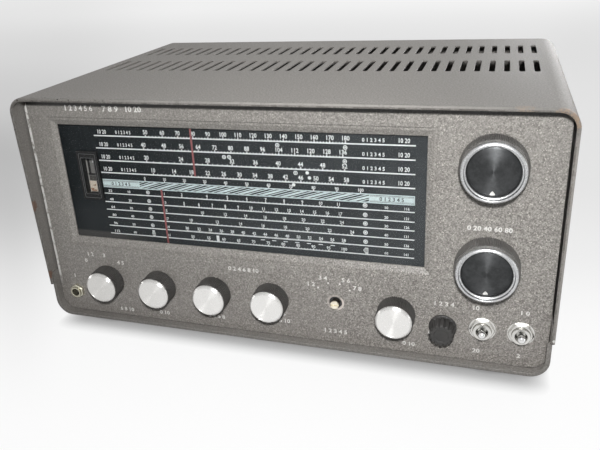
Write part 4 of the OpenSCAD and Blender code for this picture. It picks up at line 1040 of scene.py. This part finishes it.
# Dial printing
PRINT_Y = 8.95
INK = 0.05
PRINT = (PRINT_Y, PRINT_Y + INK)
SCALE_X0 = -137.4
SCALE_X1 = 98.3
BAND = (109.5, 115.4)
white = printing("dial_white", (0.90, 0.93, 0.92), (0.55, 0.58, 0.58), 0.35)
pale_blue = printing("dial_pale_blue", (0.72, 0.85, 0.85), (0.45, 0.54, 0.55), 0.4)


def dial_bar(bm, x0, x1, z, thick=0.95):
    bar(bm, x0, x1, z - thick / 2, z + thick / 2, *PRINT)


def ticks(bm, places, z, tall, wide=0.55):
    for x in places:
        bar(bm, x - wide / 2, x + wide / 2, z, z + tall, *PRINT)


def number(bm, text, x, z, height, wide):
    digits(bm, text, x, z, height, PRINT_Y, INK, wide)


def tilted(bm):
    """Turns printing by the small angle at which the scale plate was printed."""
    turned = Matrix.Rotation(math.radians(-0.28), 3, "Y")
    bmesh.ops.rotate(bm, cent=(-20.0, 0.0, 110.0), matrix=turned, verts=bm.verts)
    return bm


def spread_out(x0, x1, count, power):
    return [x0 + (x1 - x0) * (i / (count - 1)) ** power for i in range(count)]


bm = bmesh.new()
upper_rows = (
    (150.0, (-94, 53), 14, 0.93, 5, 10),
    (140.4, (-97, 51), 13, 0.88, 4, 8),
    (130.7, (-96, 52), 9, 0.80, 2, 4),
    (121.1, (-92, 53), 13, 0.86, 1, 4),
)
for z, (x0, x1), count, power, first, step in upper_rows:
    dial_bar(bm, SCALE_X0, SCALE_X1, z)
    marks = spread_out(x0, x1, count, power)
    ticks(bm, marks, z, 1.7, 0.8)
    for a, b in zip(marks, marks[1:]):
        ticks(bm, [a + (b - a) * k / 5 for k in range(1, 5)], z, 1.05)
    for i, x in enumerate(marks):
        number(bm, str(first * 10 + i * step), x, z + 2.1, 3.1, 0.85)
    left = SCALE_X0 + 1.5
    number(bm, "10 20", left + 5.5, z + 1.6, 3.0, 0.8)
    number(bm, "0 1 2 3 4 5", left + 23.5, z + 1.7, 2.5, 0.82)
    number(bm, "0 1 2 3 4 5", SCALE_X1 - 27, z + 1.7, 2.5, 0.95)
    number(bm, "10 20", SCALE_X1 - 7.5, z + 1.7, 3.0, 0.8)
for x, z in ((-34.1, 137.3), (-30.2, 137.4), (5.9, 147.3), (52.7, 147.3), (52.2, 137.7), (17.7, 128.0)):
    ringed_dot(bm, x, z, 1.5, 0.55, 0.55, *PRINT)
for x, z in ((26.0, 128.4), (27.4, 124.8), (15.9, 119.3)):
    dot(bm, x, z, 1.25, *PRINT)

lower_rows = (
    (104.2, (-71, 47), 9, 0.85, 3, 1),
    (97.2, (-70, 48), 13, 0.92, 5, 1),
    (90.8, (-56, 49), 8, 0.9, 10, 2),
    (84.1, (-66, 56), 8, 0.9, 10, 2),
    (77.2, (-70, 50), 15, 0.95, 30, 2),
    (70.5, (-66, 50), 11, 0.95, 50, 5),
)
for row, (z, (x0, x1), count, power, first, step) in enumerate(lower_rows):
    breaks = (-8.6, -7.0) if row == 1 else (SCALE_X1, SCALE_X1)
    for start, end in ((SCALE_X0, breaks[0]), (breaks[1], SCALE_X1)):
        if end > start:
            dial_bar(bm, start, end, z, 0.8)
    marks = spread_out(x0, x1, count, power)
    ticks(bm, marks, z, 1.3, 0.7)
    parts = 10 if row == 4 else 5
    for a, b in zip(marks, marks[1:]):
        ticks(bm, [a + (b - a) * k / parts for k in range(1, parts)], z, 0.85, 0.45)
    for i, x in enumerate(marks):
        number(bm, str(first + i * step), x, z + 1.5, 2.2, 0.95)
    number(bm, str(16 * (row + 2)), SCALE_X0 + 6, z + 1.2, 2.0, 1.2)
    number(bm, str(10 * (row + 1)), SCALE_X0 + 22, z + 1.2, 1.9, 1.0)
    ringed_dot(bm, -99.0, z + 2.6, 1.5, 0.55, 0.6, *PRINT)
    number(bm, str(2 * row + 11), -86.0, z + 1.3, 2.0, 1.0)
    ringed_dot(bm, 65.3, z + 3.0, 1.6, 0.6, 0.7, *PRINT)
    number(bm, str(10 * (row + 1)), 79.5, z + 1.2, 1.9, 1.0)
    number(bm, str(116 + 5 * row), 93.0, z + 1.2, 1.9, 0.95)
for x in (-99.0, 66.0, -45.5):
    bar(bm, x - 1.1, x + 1.1, 71.0, 75.6, *PRINT)
for x in spread_out(-10, 42, 7, 1.0):
    bar(bm, x - 1.6, x + 1.6, 74.9, 75.5, *PRINT)
piece("dial_scales", tilted(bm), white, "receiver")

bm = bmesh.new()
low, high = BAND
for z in (low, high):
    dial_bar(bm, SCALE_X0 + 0.4, SCALE_X1, z, 0.8)
BAND_STEP = 16.23
LABEL_END = -105.0
LABEL_START = 68.0
run = 1.15 * BAND_STEP
x = LABEL_END - run + BAND_STEP / 3
count = 1
while x < LABEL_START:
    slope = (high - low) / run
    a = max(x, LABEL_END)
    b = min(x + run, LABEL_START)
    width = 0.6 if count % 3 else 1.4
    stroke(bm, (a, low + (a - x) * slope), (b, low + (b - x) * slope), width, *PRINT)
    x += BAND_STEP / 3
    count += 1
PLATES = ((SCALE_X0 + 0.4, LABEL_END), (LABEL_START, SCALE_X1))
for x0, x1 in PLATES:
    for k in (1, 5):
        dial_bar(bm, x0, x1, low + (high - low) * k / 6, 0.5)
    dial_bar(bm, x0 + 0.6, x1 - 0.6, (low + high) / 2, (high - low) * 0.52)
    for x in (x0 + 0.3, x1 - 0.3):
        bar(bm, x - 0.3, x + 0.3, low, high, *PRINT)
piece("dial_band", tilted(bm), pale_blue, "receiver")

bm = bmesh.new()
for x0, x1 in PLATES:
    digits(bm, "0 1 2 3 4 5", (x0 + x1) / 2, low + 1.7, 2.6, PRINT_Y - INK, INK, 1.0)
dark_ink = printing("dial_dark", (0.012, 0.016, 0.018), (0.05, 0.06, 0.065))
piece("dial_band_plates", tilted(bm), dark_ink, "receiver")

bm = bmesh.new()
for i, x in enumerate(spread_out(-99.9, 62.4, 11, 1.0)):
    bar(bm, x - 0.35, x + 0.35, high, high + 1.6, *PRINT)
    number(bm, str(10 * i), x, high + 1.5, 2.2, 0.9)
piece("dial_band_numbers", tilted(bm), white, "receiver")

# Panel printing
PANEL_INK = 0.04
label = printing("panel_white", (0.84, 0.83, 0.80), (0.42, 0.40, 0.38), 0.6)
bm = bmesh.new()


def panel_digits(text, x, z, height=3.1, wide=1.1):
    digits(bm, text, x, z, height, -PANEL_INK, PANEL_INK, wide, 0.03)


HEADING_Z = 170.4
HEADING_H = 3.9
HEADING = (("1 2 3 4 5 6", -140.7, 0.98), ("7 8 9", -114.4, 1.15), ("10 20", -96.2, 1.05))
LEGENDS = (
    ("1 2", -153.5, 52.5), ("3", -141.0, 52.5), ("0", -158.5, 46.5), ("4 5", -127.0, 47.5),
    ("1", -172.0, 31.5), ("6 8 10", -128.0, 5.5), ("0 10", -94.0, 6.8), ("2 4 6 8", -49.0, 9.5),
    ("2 4 6", 2.0, 19.0), ("0 5 10", 4.0, 13.0), ("0 2 4 6 8 10", -23.5, 52.6), ("1 2", 27.5, 46.6),
    ("3 4", 36.5, 52.4), ("5 6", 53.0, 52.2), ("7 8", 61.0, 46.8), ("1 2 3 4 5", 44.5, 9.6),
    ("0 10", 97.0, 7.0), ("1 2 3 4", 119.8, 42.0), ("10", 140.5, 41.6), ("20", 142.3, 8.3),
    ("1 0", 171.0, 41.6), ("2", 169.5, 8.3), ("0 20 40 60 80", 145.8, 99.4),
)
for text, x, wide in HEADING:
    panel_digits(text, x, HEADING_Z, HEADING_H, wide)
for text, x, z in LEGENDS:
    panel_digits(text, x, z)
for x, z in ((32.8, 45.8), (40.3, 50.2), (48.5, 50.3), (55.6, 46.1)):
    dot(bm, x, z, 0.75, -PANEL_INK, 0.0)
piece("panel_numbers", bm, label, "receiver")


# Floor, lamps and surroundings
FLOOR_R = 12.0
FLOOR_GLOW = 0.78
SKY_GLOW = 0.78
SKY_LIGHT = 0.035
SEEN_BY = ("Is Camera Ray", "Is Glossy Ray", "Is Transmission Ray")


def floor_paint():
    """A pale floor: its own glow is what the camera and the reflections see, over a soft shadow.
    The glow is lower at the sides, along lines that fan out from a point in front of the set."""
    f = Finish("floor")
    rays = f.node("LightPath").outputs
    seen = rays[SEEN_BY[0]]
    for kind in SEEN_BY[1:]:
        seen = f.calc("MAXIMUM", seen, rays[kind])
    x = f.axis("X")
    y = f.axis("Y")
    away = f.calc("ADD", y, 0.4)
    slant = f.calc("DIVIDE", both(f, x, -1.0), away)
    # lower glow left of the set: a painted soft shadow of the set on the floor, running into the backdrop's
    # darker left
    left = f.step(slant, 0.45, 0.72, 0.0, 0.22)
    left = both(f, both(f, left, f.step(y, -0.15, 0.15)), f.step(y, 0.5, 1.2, 1.0, 0.4))
    corner = both(f, f.step(slant, 0.62, 0.84, 0.0, 0.22), f.step(y, -0.24, 0.05))
    corner = both(f, corner, f.step(y, 0.6, 0.25))
    right = f.step(f.calc("DIVIDE", x, away), 0.10, 0.20, 0.0, 0.03)
    right = both(f, right, f.step(y, -0.15, 0.15))
    middle = both(f, f.step(y, 0.0, 0.30), f.step(y, 3.2, 0.9, 0.0, 0.10))
    dim = f.step(y, 1.0, 2.4, FLOOR_GLOW, FLOOR_GLOW * 1.12)
    ahead = f.step(y, 0.10, -0.06)
    dim = both(f, dim, f.calc("ADD", 1.0, both(f, ahead, 0.145)))
    for share in (left, corner, right, middle):
        dim = both(f, dim, f.calc("SUBTRACT", 1.0, share))
    # painted contact shadow: ambient occlusion darkens the glow next to the set
    dim = both(f, dim, f.node("AmbientOcclusion", {"Distance": 0.013}).outputs["AO"])
    reach = f.node("VectorMath", {0: f.place}, operation="LENGTH").outputs["Value"]
    dim = f.blend(f.step(reach, 4.0, 8.0), dim, (SKY_GLOW, SKY_GLOW, SKY_GLOW))
    pale = f.blend(ahead, (0.14, 0.14, 0.14), (0.085, 0.085, 0.085))
    pale = f.blend(f.step(reach, 2.4, 3.6), pale, (0.01, 0.01, 0.01))
    shade = f.blend(seen, (0.16, 0.16, 0.16), pale)
    glow = f.node("Emission", {"Color": dim, "Strength": seen})
    matt = f.node("BsdfDiffuse", {"Color": shade})
    sum_of_both = f.node("AddShader", {0: matt.outputs[0], 1: glow.outputs[0]})
    f.tree.nodes.remove(f.shader)
    f.tree.links.new(sum_of_both.outputs[0], f.tree.nodes["Material Output"].inputs["Surface"])
    return f.material


bm = bmesh.new()
bmesh.ops.create_circle(bm, cap_ends=True, radius=FLOOR_R, segments=64)
floor_mesh = bpy.data.meshes.new("floor")
bm.to_mesh(floor_mesh)
bm.free()
floor = bpy.data.objects.new("floor", floor_mesh)
scene.collection.objects.link(floor)
floor_mesh.materials.append(floor_paint())
floor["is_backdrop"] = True


def lamp(name, place, target, size, power):
    data = bpy.data.lights.new(name, "AREA")
    data.shape = "DISK"
    data.size = size
    data.energy = power
    made = bpy.data.objects.new(name, data)
    scene.collection.objects.link(made)
    made.location = place
    made.rotation_euler = (target - place).to_track_quat("-Z", "Y").to_euler()
    made.visible_camera = False


lamp("key", at(155, -405, 355), at(0, 0, 90), 0.04, 2.65)
lamp("overhead", at(380, 480, 1200), at(20, 120, 100), 1.2, 8.5)
lamp("rear_soft", at(1000, 4500, 300), at(0, 200, 90), 2.0, 90.0)
lamp("left_soft", at(-4500, 600, 400), at(0, 100, 90), 2.0, 55.0)
lamp("right_soft", at(4500, 600, 400), at(0, 100, 90), 2.0, 55.0)

world = bpy.data.worlds.new("surroundings")
scene.world = world
world.use_nodes = True
sky = world.node_tree
background = sky.nodes["Background"]
rays = sky.nodes.new("ShaderNodeLightPath").outputs
shown = rays[SEEN_BY[0]]
for kind in SEEN_BY[1:]:
    most = sky.nodes.new("ShaderNodeMath")
    most.operation = "MAXIMUM"
    sky.links.new(shown, most.inputs[0])
    sky.links.new(rays[kind], most.inputs[1])
    shown = most.outputs[0]
level = sky.nodes.new("ShaderNodeMapRange")
sky.links.new(shown, level.inputs["Value"])
level.inputs[3].default_value = SKY_LIGHT
level.inputs[4].default_value = SKY_GLOW
sky.links.new(level.outputs[0], background.inputs["Strength"])
background.inputs["Color"].default_value = (1, 1, 1, 1)

low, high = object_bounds()
